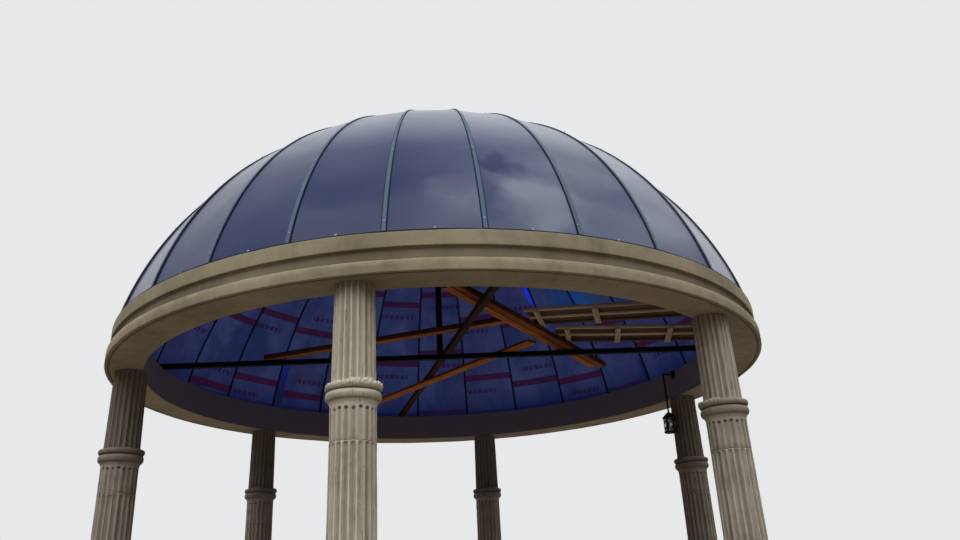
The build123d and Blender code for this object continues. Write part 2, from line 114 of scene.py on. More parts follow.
def make_piece(name, points, faces, replaced=(), skin=None, sharp=35):
    """A mesh object on the root body, smooth but for edges sharper than the given angle."""
    mesh = bpy.data.meshes.new(name)
    mesh.from_pydata(np.asarray(points).tolist(), [], faces)
    if skin is not None:
        layer = mesh.attributes.new("skin", "FLOAT_VECTOR", "POINT")
        layer.data.foreach_set("vector", np.asarray(skin, np.float32).ravel())
    tidy = bmesh.new()
    tidy.from_mesh(mesh)
    bmesh.ops.recalc_face_normals(tidy, faces=tidy.faces)
    tidy.to_mesh(mesh)
    tidy.free()
    mesh.shade_smooth()
    mesh.set_sharp_from_angle(angle=math.radians(sharp))
    piece = bpy.data.objects.new(name, mesh)
    bpy.context.scene.collection.objects.link(piece)
    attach(piece, "root")
    if replaced:
        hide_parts(*replaced)
    return piece


def wear(piece, depth, scale, seed=0.0, lumps=None):
    """Sink the surface unevenly by up to depth, so that it stays inside its exact shape."""
    mesh = piece.data
    shift = Vector((seed * 7.3, seed * 3.1, seed * 5.7))
    moved = []
    for vertex in mesh.vertices:
        place = vertex.co / scale + shift
        sink = depth * (0.5 - 0.5 * noise.noise(place)) + 0.3 * depth * noise.noise(place * 3.7)
        if lumps:
            sink -= lumps(vertex.co)
        moved.append(vertex.co - vertex.normal * sink)
    mesh.vertices.foreach_set("co", np.array(moved).ravel())
    mesh.update()


def rounded(corners, radius, steps=4):
    """A closed profile with each corner replaced by a short arc no longer than its sides allow."""
    soft = []
    count = len(corners)
    for k, corner in enumerate(corners):
        here = Vector(corner)
        before, after = Vector(corners[k - 1]) - here, Vector(corners[(k + 1) % count]) - here
        reach = min(radius, before.length * 0.45, after.length * 0.45)
        first, last = here + before.normalized() * reach, here + after.normalized() * reach
        for step in range(steps + 1):
            t = step / steps
            soft.append(first * (1 - t) ** 2 + here * 2 * t * (1 - t) + last * t**2)
    return soft


def split_long(profile, longest):
    """The same closed profile with extra points, so that no side is longer than stated."""
    fine = []
    for k, here in enumerate(profile):
        there = profile[(k + 1) % len(profile)]
        pieces = max(1, math.ceil((there - here).length / longest))
        fine += [here.lerp(there, n / pieces) for n in range(pieces)]
    return fine


# %% [markdown]
# ## Node helpers and shared effects
#
# Concrete, timber and steel all show the same few effects: broad mottling, marks that run one way,
# and small pits. Each is a node group with named inputs, built once, that puts out a mask or a
# height. The shaders themselves stay in each material, where an exporter can read them.

# %% Node helpers
def node(tree, kind, inputs=None, **settings):
    """Add a node, set its properties, and set or link its inputs."""
    made = tree.nodes.new(kind)
    for key, value in settings.items():
        setattr(made, key, value)
    for key, value in (inputs or {}).items():
        if isinstance(value, bpy.types.NodeSocket):
            tree.links.new(value, made.inputs[key])
        else:
            made.inputs[key].default_value = value
    return made


def math_node(tree, operation, first, second=0.0, clamp=False):
    """One math operation on two values or sockets."""
    return node(tree, "ShaderNodeMath", {0: first, 1: second}, operation=operation, use_clamp=clamp).outputs[0]


def times(tree, first, second, clamp=False):
    """The product of two values."""
    return math_node(tree, "MULTIPLY", first, second, clamp)


def plus(tree, first, second):
    """The sum of two values."""
    return math_node(tree, "ADD", first, second)


def minus(tree, first, second):
    """The first value less the second."""
    return math_node(tree, "SUBTRACT", first, second)


def blend_colours(tree, share, first, second):
    """Mix two colours by a share, which may be a socket."""
    made = node(tree, "ShaderNodeMix", {"Factor": share}, data_type="RGBA", blend_type="MIX")
    for place, colour in ((6, first), (7, second)):
        if isinstance(colour, bpy.types.NodeSocket):
            tree.links.new(colour, made.inputs[place])
        else:
            made.inputs[place].default_value = (*colour, 1.0)
    return made.outputs[2]


def sharpen(tree, value, low, high):
    """Stretch the part of a value between low and high over 0 to 1."""
    limits = {"Value": value, "From Min": low, "From Max": high}
    return node(tree, "ShaderNodeMapRange", limits, interpolation_type="SMOOTHSTEP").outputs[0]


def split(tree, vector):
    """The X, Y and Z of a vector, each an output of that name."""
    return node(tree, "ShaderNodeSeparateXYZ", {0: vector}).outputs


def scaled(tree, vector, scale):
    """A vector times a scale for each axis."""
    return node(tree, "ShaderNodeMapping", {"Vector": vector, "Scale": scale}).outputs[0]


def distance_from(tree, place, point):
    """How far a place is from a point."""
    made = node(tree, "ShaderNodeVectorMath", {0: place, 1: point}, operation="DISTANCE")
    return made.outputs["Value"]


def skin_of(tree):
    """The skin of the mesh: how far round a point lies, how far along, and how hollow it is."""
    return node(tree, "ShaderNodeAttribute", attribute_name="skin").outputs["Vector"]


def start_group(name, inputs, outputs):
    """A node group with named sockets; returns its tree, its input node and its output node."""
    tree = bpy.data.node_groups.new(name, "ShaderNodeTree")
    kinds = {"value": "NodeSocketFloat", "vector": "NodeSocketVector"}
    for label, kind, default in inputs:
        made = tree.interface.new_socket(name=label, in_out="INPUT", socket_type=kinds[kind])
        if default is not None:
            made.default_value = default
    for label, kind in outputs:
        tree.interface.new_socket(name=label, in_out="OUTPUT", socket_type=kinds[kind])
    return tree, tree.nodes.new("NodeGroupInput"), tree.nodes.new("NodeGroupOutput")


def use_group(tree, group, inputs):
    """Place a shared effect in a material with its own values."""
    made = tree.nodes.new("ShaderNodeGroup")
    made.node_tree = group
    for key, value in inputs.items():
        if isinstance(value, bpy.types.NodeSocket):
            tree.links.new(value, made.inputs[key])
        else:
            made.inputs[key].default_value = value
    return made.outputs


def noise_at(tree, vector, scale, detail=4.0, rough=0.55, distortion=0.0):
    """A noise value from 0 to 1."""
    values = {"Vector": vector, "Scale": scale, "Detail": detail, "Roughness": rough, "Distortion": distortion}
    return node(tree, "ShaderNodeTexNoise", values).outputs["Fac"]


# %% Shared effects: mottling, run marks and pits
def make_mottle():
    """Broad and fine patches, as on cement render: a mask from 0 to 1 and a height."""
    tree, entry, exit = start_group(
        "mottle", [("Vector", "vector", None), ("Scale", "value", 2.0), ("Contrast", "value", 0.2)],
        [("Mask", "value"), ("Height", "value")],
    )
    broad = noise_at(tree, entry.outputs["Vector"], entry.outputs["Scale"], 6.0, 0.6)
    low = minus(tree, 0.5, entry.outputs["Contrast"])
    high = plus(tree, 0.5, entry.outputs["Contrast"])
    mask = sharpen(tree, broad, low, high)
    fine_scale = times(tree, entry.outputs["Scale"], 22.0)
    fine = noise_at(tree, entry.outputs["Vector"], fine_scale, 5.0, 0.65)
    height = plus(tree, times(tree, broad, 0.7), times(tree, fine, 0.3))
    tree.links.new(mask, exit.inputs["Mask"])
    tree.links.new(height, exit.inputs["Height"])
    return tree


def make_run_marks():
    """Marks stretched along the second skin axis, as rain leaves them: a mask from 0 to 1."""
    tree, entry, exit = start_group(
        "run_marks",
        [("Vector", "vector", None), ("Across", "value", 20.0), ("Along", "value", 1.0), ("Cut", "value", 0.5)],
        [("Mask", "value")],
    )
    parts = split(tree, entry.outputs["Vector"])
    across = times(tree, parts["X"], entry.outputs["Across"])
    along = times(tree, parts["Y"], entry.outputs["Along"])
    place = node(tree, "ShaderNodeCombineXYZ", {"X": across, "Y": along}).outputs[0]
    lines = noise_at(tree, place, 1.0, 4.0, 0.6)
    mask = sharpen(tree, lines, entry.outputs["Cut"], plus(tree, entry.outputs["Cut"], 0.18))
    tree.links.new(mask, exit.inputs["Mask"])
    return tree


def make_pits():
    """Small round holes, thinly scattered: 1 inside a hole and 0 elsewhere."""
    tree, entry, exit = start_group(
        "pits", [("Vector", "vector", None), ("Scale", "value", 60.0), ("Size", "value", 0.2)],
        [("Mask", "value")],
    )
    cells = node(tree, "ShaderNodeTexVoronoi", {"Vector": entry.outputs["Vector"], "Scale": entry.outputs["Scale"]})
    chance = node(tree, "ShaderNodeSeparateColor", {0: cells.outputs["Color"]}).outputs[0]
    size = times(tree, entry.outputs["Size"], sharpen(tree, chance, 0.55, 1.0))
    hole = math_node(tree, "LESS_THAN", cells.outputs["Distance"], size)
    tree.links.new(hole, exit.inputs["Mask"])
    return tree


mottle = make_mottle()
run_marks = make_run_marks()
pits = make_pits()
print("shared effects:", [g.name for g in bpy.data.node_groups])


# %% Start a material
def start_material(name, **constants):
    """A new material; returns it, its tree, its Principled shader and its place in space."""
    material = bpy.data.materials.new(name)
    material.use_nodes = True
    tree = material.node_tree
    shader = tree.nodes["Principled BSDF"]
    for key, value in constants.items():
        shader.inputs[key.replace("_", " ").title().replace("Ior", "IOR")].default_value = value
    place = tree.nodes.new("ShaderNodeTexCoord").outputs["Object"]
    return material, tree, shader, place


def bump(tree, shader, height, strength, distance):
    """Turn a height into small relief on a shader."""
    made = node(tree, "ShaderNodeBump", {"Height": height, "Strength": strength, "Distance": distance})
    tree.links.new(made.outputs[0], shader.inputs["Normal"])


# %% [markdown]
# ## Concrete
#
# The beam and the columns are cement render over cast concrete: warm grey, chalky where it dried
# fast, with dark runs down the faces. Painted shade darkens the hollows, the ring's inner wall and
# the tops of the columns under the ring. Painted highlights, partly dust and mortar, pale the
# raised places. One function makes the four variants: the beam, the pale columns, a darker copy
# painted in shade for the columns that stand in shade, and a stained one.
# The columns are paler than the beam and show more runs.
# The base colour is built in layers, palest first, and the same masks drive the relief, so a stain
# and its roughness line up.

# %% Concrete materials
never_shaded = 9.0
inner_wall_shade_tone = (0.160, 0.150, 0.192)
hollow_shade = 0.55
beam_runs = {"runs": 0.25, "across": 7.0, "along": 0.9}
column_runs = {"runs": 0.75, "across": 85.0, "along": 7.0}


def make_concrete(name, pale, dark, runs, across, along, cut, shade_level):
    """Cement render in two tones: runs down the face, painted shade in the hollows, the pits and under the ring,
    painted highlights on raised places, and sand.
    """
    material, tree, shader, place = start_material(name, specular_ior_level=0.12)
    skin = skin_of(tree)
    hollow = split(tree, skin)["Z"]
    height = split(tree, place)["Z"]
    broad = use_group(tree, mottle, {"Vector": place, "Scale": 1.7, "Contrast": 0.2})
    small = use_group(tree, mottle, {"Vector": place, "Scale": 9.0, "Contrast": 0.25})
    marks = use_group(tree, run_marks, {"Vector": skin, "Across": across, "Along": along, "Cut": cut})
    pale_marks = use_group(
        tree, run_marks, {"Vector": skin, "Across": across * 1.7, "Along": along * 1.6, "Cut": cut + 0.02})
    holes = use_group(tree, pits, {"Vector": place, "Scale": 46.0, "Size": 0.17})
    base = blend_colours(tree, broad["Mask"], pale, dark)
    chalk_and_highlight = [min(1.0, tone * 1.35) for tone in pale]
    base = blend_colours(tree, times(tree, small["Mask"], 0.35), base, chalk_and_highlight)
    base = blend_colours(tree, times(tree, pale_marks["Mask"], 0.55 * runs), base, chalk_and_highlight)
    run_share = times(tree, marks["Mask"], runs)
    base = blend_colours(tree, run_share, base, [tone * 0.5 for tone in dark])
    # Skin values below zero: painted highlights on ridges, arrises and shoulders, partly pale dust and mortar.
    highlight_and_dust = times(tree, math_node(tree, "MAXIMUM", times(tree, hollow, -1.0), 0.0), 0.9, clamp=True)
    highlight_and_dust = times(tree, highlight_and_dust, plus(tree, 0.35, small["Mask"]), clamp=True)
    base = blend_colours(tree, highlight_and_dust, base, chalk_and_highlight)
    # Skin values above zero: painted shade in grooves, recesses and pits, with some dirt.
    hollow_shaded = times(tree, math_node(tree, "MAXIMUM", hollow, 0.0), hollow_shade, clamp=True)
    base = blend_colours(tree, hollow_shaded, base, [tone * 0.3 for tone in dark])
    # The ring's inner wall is painted in shade, in a dark bluish tone.
    inside = sharpen(tree, hollow, 1.9, 2.0)
    base = blend_colours(tree, times(tree, inside, 0.9), base, inner_wall_shade_tone)
    # Painted shade under the ring: darker from the shade level upward.
    ragged = plus(tree, height, times(tree, small["Height"], 0.16))
    shade_below_ring = sharpen(tree, ragged, shade_level, shade_level + 0.16)
    base = blend_colours(tree, times(tree, shade_below_ring, 0.6), base, [tone * 0.45 for tone in dark])
    # Painted shade inside the small pits.
    base = blend_colours(tree, times(tree, holes["Mask"], 0.5), base, [tone * 0.35 for tone in dark])
    tree.links.new(base, shader.inputs["Base Color"])
    rough = plus(tree, times(tree, small["Mask"], 0.12), 0.82)
    tree.links.new(rough, shader.inputs["Roughness"])
    grit = noise_at(tree, place, 180.0, 6.0, 0.7)
    relief = plus(tree, times(tree, grit, 0.5), small["Height"])
    relief = plus(tree, relief, times(tree, pale_marks["Mask"], 0.4 * runs))
    relief = minus(tree, relief, times(tree, holes["Mask"], 0.6))
    bump(tree, shader, relief, 0.6, 0.006)
    return material


beam_concrete = make_concrete(
    "beam_concrete", pale=(0.335, 0.295, 0.207), dark=(0.20, 0.173, 0.115),
    cut=0.54, shade_level=never_shaded, **beam_runs)
column_concrete = make_concrete(
    "column_concrete", pale=(0.55, 0.515, 0.42), dark=(0.38, 0.34, 0.265),
    cut=0.53, shade_level=soffit - 0.06, **column_runs)
# A darker copy of the column concrete: painted shade for the columns that stand in shade.
shaded_concrete = make_concrete(
    "shaded_column_concrete", pale=(0.345, 0.31, 0.258), dark=(0.225, 0.196, 0.158),
    cut=0.52, shade_level=soffit - 0.62, **column_runs)
stained_concrete = make_concrete(
    "stained_column_concrete", pale=(0.475, 0.44, 0.365), dark=(0.32, 0.285, 0.225),
    cut=0.53, shade_level=soffit - 0.06, **column_runs)
print("concrete:", beam_concrete.name, column_concrete.name, shaded_concrete.name, stained_concrete.name)

# %% [markdown]
# ## Ring beam
#
# On site the beam is cast in place and rendered by hand, so no joint shows: one profile is turned
# right round the axis, though the construction keeps it in six segments. From below it reads as a
# lower fascia, a deep recess, a top fascia and a thin drip line in the soffit. Each arris is
# rounded by a few millimetres, and the turned surface is then sunk unevenly by the plasterer's
# trowel.

# %% Ring beam mesh
lower_fascia_top = soffit + 0.074
recess_top = lower_fascia_top + 0.077
recess_radius = ring_outer - 0.042
top_fascia_radius = ring_outer - 0.020
drip_outer, drip_inner, drip_depth = ring_outer - 0.024, ring_outer - 0.034, 0.007
arris = 0.007
beam_steps = 360

beam_corners = [
    (ring_inner, soffit),
    (drip_inner, soffit),
    (drip_inner, soffit + drip_depth),
    (drip_outer, soffit + drip_depth),
    (drip_outer, soffit),
    (ring_outer, soffit),
    (ring_outer, lower_fascia_top),
    (recess_radius, lower_fascia_top),
    (recess_radius, recess_top),
    (top_fascia_radius, recess_top),
    (top_fascia_radius, ring_top),
    (ring_inner, ring_top),
]
beam_profile = split_long(rounded(beam_corners, arris), 0.03)
along_profile = np.cumsum([0] + [(b - a).length for a, b in zip(beam_profile, beam_profile[1:])])


def turned(profile, steps):
    """Points of a profile (radius, height) turned round a vertical axis, one row per step."""
    turn = np.linspace(0, 2 * np.pi, steps, endpoint=False)
    radius = np.array([p[0] for p in profile])
    height = np.array([p[1] for p in profile])
    x, y = np.outer(np.cos(turn), radius), np.outer(np.sin(turn), radius)
    z = np.tile(height, (steps, 1))
    return np.stack([x, y, z], axis=-1).reshape(-1, 3), turn


def ring_faces(rows, columns):
    """Faces of a grid that closes on itself both ways."""
    row, column = np.meshgrid(np.arange(rows), np.arange(columns), indexing="ij")
    next_row, next_column = (row + 1) % rows, (column + 1) % columns
    here, above = row * columns, next_row * columns
    corners = (here + column, here + next_column, above + next_column, above + column)
    return np.stack(corners, axis=-1).reshape(-1, 4).tolist()


beam_mesh_points, beam_turn = turned(beam_profile, beam_steps)
profile_radius, profile_height = np.array([tuple(point) for point in beam_profile]).T


def between(value, low, high):
    """1 where a value lies between two limits, and 0 elsewhere."""
    return ((value > low) & (value < high)).astype(float)


# The beam's skin: painted shade in the recess and the drip, 2 on the inner wall for its painted shade tone, and a
# painted highlight along the top arris of the lower fascia.
in_recess = (
    between(profile_radius, recess_radius - 0.01, top_fascia_radius - 0.004)
    * between(profile_height, lower_fascia_top - 0.004, recess_top + 0.004)
)
in_drip = (
    between(profile_radius, drip_inner - 0.002, drip_outer + 0.002)
    * (profile_height < soffit + 0.02)
)
on_inner_wall = 2.0 * (profile_radius < ring_inner + 0.002)
edge_highlight = 0.8 * (
    (profile_radius > ring_outer - 0.006)
    * between(profile_height, lower_fascia_top - 0.008, lower_fascia_top + 0.002)
)
beam_shade_marks = np.maximum.reduce([in_recess * 0.7, in_drip * 0.8, on_inner_wall]) - edge_highlight
beam_skin = np.stack([
    np.repeat(beam_turn * ring_outer, len(beam_profile)),
    np.tile(along_profile, beam_steps),
    np.tile(beam_shade_marks, beam_steps),
], axis=-1)
ring_beam = make_piece(
    "ring_beam", beam_mesh_points, ring_faces(beam_steps, len(beam_profile)),
    [f"ring_beam_{k + 1}" for k in range(column_count)], beam_skin,
)
wear(ring_beam, 0.0035, 0.33, seed=1.0)
ring_beam.data.materials.append(beam_concrete)
print("ring beam faces:", len(ring_beam.data.polygons))

# %% [markdown]
# ## Columns
#
# Each column has twenty flutes, shallow on the shaft and deeper on the neck. A flute is a round
# groove with a ball end, so its depth at a point follows from two distances: how far the point is
# from the middle of the flute, and how far past the end's centre. With that formula the column is
# one grid, and the points round it are placed close together at the flutes' edges, where the shape
# turns. At the top of the drum each flute ends in a deeper pit, where the mould's plug was pulled.
# The head adds a double round moulding and a neck whose flutes run up into the soffit. Shaft and
# head were cast apart, so mortar fills the joint between them, and more of it lies dry on the
# mouldings. The flutes, the pits and the notches of the moulding are painted in shade, and the
# ridges and the rolls' shoulders take painted highlights. Four columns take a darker copy of the
# concrete as painted shade, and one is only stained.

# %% Flute and moulding profiles
flute_count = 20
flute_mouth = 0.74
shaft_relief, drum_relief, neck_relief = 0.26, 0.10, 0.32
flute_margin = 0.04
pit_radius, pit_depth = 0.0088, 0.0075
shaft_foot_radius, shaft_joint_radius = 0.134, 0.122
neck_low_radius, neck_top_radius = 0.118, 0.111
torus_top = soffit - 0.549
torus_mid = torus_top - 0.040
torus_low = torus_mid - 0.050
flute_top = torus_low - 0.037
base_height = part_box("column_1_shaft")[0].z
plinth_height = 0.090
edge_places = np.array([0.12, 0.3, 0.48, 0.6, 0.68, 0.73, 0.76, 0.86])
flute_places = np.concatenate([-edge_places[::-1], [0.0], edge_places, [1.0]])


def bulge(low, high, root, reach, steps=9):
    """A round moulding from low to high, as (radius, height) points."""
    turn = np.linspace(0, math.pi, steps)
    middle, half = (low + high) / 2, (high - low) / 2
    return [(root + (reach - root) * math.sin(t), middle - half * math.cos(t)) for t in turn]


def levels_between(low, high, step):
    """Evenly spaced levels from low to high, no further apart than step."""
    return list(np.linspace(low, high, max(2, math.ceil((high - low) / step) + 1)))


def fluted_column(levels, low_end, high_end, relief, pit_level=-9.0):
    """Points, skin and counts of a column whose (radius, height) levels have flutes between ends."""
    radius = np.array([p[0] for p in levels])[:, None]
    height = np.array([p[1] for p in levels])[:, None]
    pitch = 2 * np.pi / flute_count
    turn = (np.arange(flute_count)[:, None] * pitch + flute_places[None, :] * pitch / 2).ravel()
    across = np.tile(flute_places, flute_count)[None, :] / flute_mouth
    half_width = flute_mouth * pitch / 2 * radius
    past = np.maximum(np.maximum(low_end + half_width - height, height - high_end + half_width), 0) / half_width
    groove = np.sqrt(np.clip(1 - across**2 - past**2, 0, 1)) * ((height > low_end) & (height < high_end))
    sunk = radius - groove * relief * 2 * half_width / flute_mouth * 0.86
    flute = np.repeat(np.arange(flute_count), len(flute_places))[None, :]
    pit_size = pit_radius * (1 + 0.25 * np.sin(flute * 2.6 + 1))
    pit_rise = 0.004 * np.sin(flute * 4.1)
    above_pit = height - pit_level - pit_rise
    from_pit = (across * half_width) ** 2 / pit_size**2 + above_pit**2 / (0.85 * pit_radius) ** 2
    pit = np.sqrt(np.clip(1 - from_pit, 0, 1))
    sunk = sunk - pit * pit_depth
    # Painted shade in the flutes, with some dirt, and deeper in the pits at their tops; painted highlights on the
    # ridges between flutes.
    groove_shade_and_dirt = (0.75 + 0.35 * np.sin(flute * 2.3 + 0.7)) * groove**2
    ridge_highlight = (np.abs(across) > 1.0) * (0.45 + 0.35 * np.sin(flute * 1.7)) * (relief > drum_relief)
    points = np.stack([np.cos(turn) * sunk, np.sin(turn) * sunk, height + 0 * sunk], axis=-1)
    skin = np.stack([turn * radius, height + 0 * sunk, np.maximum(groove_shade_and_dirt, 3 * pit) - ridge_highlight], axis=-1)
    return points.reshape(-1, 3), skin.reshape(-1, 3), len(levels), len(turn)


def stood_up(points, angle):
    """Column points about their own axis, turned and moved to a place on the column circle."""
    turn = math.radians(angle)
    c, s = math.cos(turn), math.sin(turn)
    x = points[:, 0] * c - points[:, 1] * s + column_circle * c
    y = points[:, 0] * s + points[:, 1] * c + column_circle * s
    return np.stack([x, y, points[:, 2]], axis=-1)


def mortar_in_joint(points, level, seed):
    """Bring the joint's sunk edge out to the face wherever mortar was pressed into it."""
    for point in points:
        if abs(point[2] - level) < 0.0005:
            fill = 0.45 + 2.2 * noise.noise(Vector((point[0] * 18, point[1] * 18, seed)))
            point[:2] *= 1 + 0.0026 * min(1.0, max(0.0, fill)) / math.hypot(point[0], point[1])


def capped(faces, rows, columns):
    """Close both ends of a column grid with one face each."""
    return faces + [list(range(columns))[::-1], list(range((rows - 1) * columns, rows * columns))]


# %% Shafts
# The columns that stand in shade and take the darker copy.
shaded_columns = (3, 4, 5, 6)
stained_columns = (2,)


def concrete_of(number):
    """The columns behind and the one at the left take the darker copy, which is painted shade."""
    if number in stained_columns:
        return stained_concrete
    return shaded_concrete if number in shaded_columns else column_concrete


def shaft_levels():
    """Heights of a shaft's points: close together where the flutes end, and evenly spaced above."""
    low_end = base_height + flute_margin
    ends = levels_between(base_height, low_end, 0.02) + levels_between(low_end + 0.003, low_end + 0.03, 0.004)
    rise = levels_between(low_end + 0.05, joint_level - 0.036, 0.085)
    heights = ends + rise + levels_between(joint_level - 0.032, joint_level - 0.003, 0.003) + [joint_level]
    slope = (shaft_joint_radius - shaft_foot_radius) / (joint_level - low_end)
    radii = [shaft_foot_radius + slope * max(0, z - low_end) for z in heights]
    radii[-1] -= 0.003
    return list(zip(radii, heights)), low_end


shaft_rows, shaft_flute_foot = shaft_levels()
for number, angle in enumerate(column_angles, start=1):
    points, skin, rows, columns = fluted_column(shaft_rows, shaft_flute_foot, joint_level - 0.006, shaft_relief)
    skin[:, 0] += number
    if number not in stained_columns:
        mortar_in_joint(points, joint_level, number)
    faces = capped(grid_faces(rows, columns, wrap=True), rows, columns)
    shaft = make_piece(f"column_{number}_shaft_cast", stood_up(points, angle), faces,
                       [f"column_{number}_shaft"], skin, sharp=50)
    wear(shaft, 0.0028, 0.05, seed=number)
    shaft.data.materials.append(concrete_of(number))
print("shaft rows:", len(shaft_rows), "points round:", columns)

# %% Heads
torus_reach = neck_low_radius + 0.031


def head_levels():
    """Heights and radii up a head: drum, hollow flare, two round mouldings, and the neck."""
    drum = [(shaft_joint_radius - 0.003, joint_level), (shaft_joint_radius, joint_level + 0.004)]
    drum += [(shaft_joint_radius, z) for z in levels_between(joint_level + 0.03, flute_top - 0.03, 0.035)]
    drum += [(shaft_joint_radius, z) for z in levels_between(flute_top - 0.024, flute_top + 0.006, 0.0025)]
    flare = [(shaft_joint_radius + 0.012 * t**2, flute_top + 0.008 + t * 0.029) for t in np.linspace(0.1, 1, 7)]
    rolls = bulge(torus_low, torus_mid, torus_reach - 0.016, torus_reach - 0.002)
    rolls += bulge(torus_mid, torus_top, torus_reach - 0.016, torus_reach, 13)[1:-2]
    ledge = [(neck_low_radius + 0.014, torus_top - 0.001), (neck_low_radius + 0.008, torus_top + 0.001),
             (neck_low_radius + 0.004, torus_top + 0.003)]
    rise = levels_between(torus_top + 0.006, torus_top + 0.026, 0.005)
    rise += levels_between(torus_top + 0.04, soffit, 0.05)
    taper = (neck_top_radius - neck_low_radius) / (soffit - torus_top)
    neck = [(neck_low_radius + taper * (z - torus_top), z) for z in rise]
    return drum + flare + rolls + ledge, neck


drum_rows, neck_rows = head_levels()


# Where a mason left the most mortar: column, thickness and compass direction in degrees.
thick_mortar = {1: (0.026, -35), 2: (0.020, -165)}


def mortar_lumps(angle, number):
    """Rough mortar left on top of the upper moulding, thickest on one side."""
    turn = math.radians(angle)
    centre = Vector((column_circle * math.cos(turn), column_circle * math.sin(turn), 0))
    thick, side = thick_mortar.get(number, (0.007, number * 70))
    shift = Vector((number * 4.1, 0, 0))

    def lump(place):
        spread = place - centre
        over = max(0.0, 1 - abs(spread.z - torus_top + 0.004) / 0.024)
        if over == 0:
            return 0.0
        toward = 0.5 + 0.5 * math.cos(math.atan2(spread.y, spread.x) - math.radians(side))
        rough = max(0.0, noise.noise(place * 70 + shift)) + 0.7 * max(0.0, noise.noise(place * 170 + shift))
        return over * thick * rough * (0.15 + toward**2)

    return lump


def moulding_grime_shade_and_highlight(level, grime, dust_and_highlight):
    """Grime on the rolls, painted shade in the notch between the rolls and under the lower one, and painted
    highlights, partly dust, on their upper shoulders.
    """
    notch = np.exp(-(((level - torus_mid) / 0.004) ** 2)) + 0.6 * np.exp(-(((level - torus_low) / 0.004) ** 2))
    shoulder = np.exp(-(((level - torus_mid + 0.013) / 0.006) ** 2))
    shoulder += np.exp(-(((level - torus_top + 0.009) / 0.005) ** 2))
    rolls = np.clip((level - torus_low + 0.01) / 0.02, 0, 1) * np.clip((torus_top + 0.004 - level) / 0.01, 0, 1)
    return grime * rolls + 0.9 * notch - dust_and_highlight * shoulder


for number, angle in enumerate(column_angles, start=1):
    low_points, low_skin, low_count, columns = fluted_column(
        drum_rows, -99.0, flute_top, drum_relief, flute_top - 0.010)
    high_points, high_skin, high_count, columns = fluted_column(neck_rows, -99.0, 99.0, neck_relief)
    points, skin = np.vstack([low_points, high_points]), np.vstack([low_skin, high_skin])
    skin[:, 0] += number * 1.7
    if number not in stained_columns:
        mortar_in_joint(points, joint_level, number)
    points = stood_up(points, angle)
    lumps = mortar_lumps(angle, number)
    # Mortar grains are paled as painted highlights, partly pale mortar.
    grains = np.array([lumps(Vector(point)) for point in points]) / 0.006
    grime, dust_and_highlight = (0.85, 0.3) if number in stained_columns else (0.45, 0.9)
    skin[:, 2] += moulding_grime_shade_and_highlight(skin[:, 1], grime, dust_and_highlight) - np.clip(grains, 0, 1.4)
    rows = low_count + high_count
    faces = capped(grid_faces(rows, columns, wrap=True), rows, columns)
    head = make_piece(f"column_{number}_head_cast", points, faces,
                      [f"column_{number}_head"], skin, sharp=50)
    wear(head, 0.0026, 0.05, seed=number + 0.5, lumps=lumps)
    head.data.materials.append(concrete_of(number))
print("head rows:", rows)

# %% [markdown]
# ## Column bases
#
# The feet are below the edge of the picture, so they follow common practice: a square plinth, a
# thick roll, a fillet and a thinner roll. The six stand in one mesh, as they do in the
# construction. The plinth is a small grid of its own, so that its edges can be worn.

# %% Bases
base_torus_top = plinth_height + 0.060
base_fillet_top = base_torus_top + 0.026
base_upper_top = base_fillet_top + 0.038
plinth_half = 0.190
base_torus_radius = plinth_half - 0.004
base_upper_radius = shaft_foot_radius + 0.036


def plinth_points(steps=12):
    """A square column of points with softened edges, from the ground to the plinth's top."""
    soft = 0.006
    side = np.linspace(-1, 1, steps)
    outline = [(plinth_half, plinth_half * s * 0.985) for s in side]
    square = []
    for turn in range(4):
        c, s = math.cos(turn * math.pi / 2), math.sin(turn * math.pi / 2)
        square += [(x * c - y * s, x * s + y * c) for x, y in outline]
    shrink = [(1 - soft / plinth_half, 0.0), (1.0, soft), (1.0, plinth_height / 2), (1.0, plinth_height - soft),
              (1 - soft / plinth_half, plinth_height), (0.5, plinth_height)]
    return [[(x * k, y * k, z) for x, y in square] for k, z in shrink]


base_profile = [(0.12, plinth_height - 0.004)]
base_profile += bulge(plinth_height, base_torus_top, base_torus_radius - 0.03, base_torus_radius, 13)
base_fillet_radius = base_upper_radius - 0.017
base_profile += [(base_fillet_radius, base_torus_top + 0.004), (base_fillet_radius, base_fillet_top - 0.003)]
base_profile += bulge(base_fillet_top, base_upper_top, base_upper_radius - 0.018, base_upper_radius, 11)
base_profile += [
    (shaft_foot_radius + 0.012 * (1 - t) ** 2, base_upper_top + t * 0.022) for t in np.linspace(0, 1, 6)
]
base_profile += [(0.10, base_height)]

base_steps = 72
all_points, all_skin, all_faces = [], [], []
for number, angle in enumerate(column_angles, start=1):
    plinth = np.array(plinth_points())
    start = sum(len(p) for p in all_points)
    rows, columns = plinth.shape[:2]
    plinth_faces = capped(grid_faces(rows, columns, wrap=True), rows, columns)
    all_faces += [[i + start for i in face] for face in plinth_faces]
    flat = plinth.reshape(-1, 3)
    all_points.append(stood_up(flat, angle))
    all_skin.append(np.stack([flat[:, 0] + flat[:, 1] + number, flat[:, 2], 0 * flat[:, 2]], axis=-1))
    rolls, turn = turned(base_profile, base_steps)
    start += len(flat)
    columns = len(base_profile)
    grid = grid_faces(base_steps + 1, columns)
    all_faces += [[i % (base_steps * columns) + start for i in face] for face in grid]
    first_ring = [row * columns + start for row in range(base_steps)]
    all_faces += [first_ring, [i + columns - 1 for i in first_ring][::-1]]
    all_points.append(stood_up(rolls, angle))
    all_skin.append(np.stack([np.repeat(turn * 0.16, columns), rolls[:, 2], 0 * rolls[:, 2]], axis=-1))
bases = make_piece(
    "column_bases_cast", np.vstack(all_points), all_faces, ["column_bases"], np.vstack(all_skin))
wear(bases, 0.002, 0.06, seed=9.0)
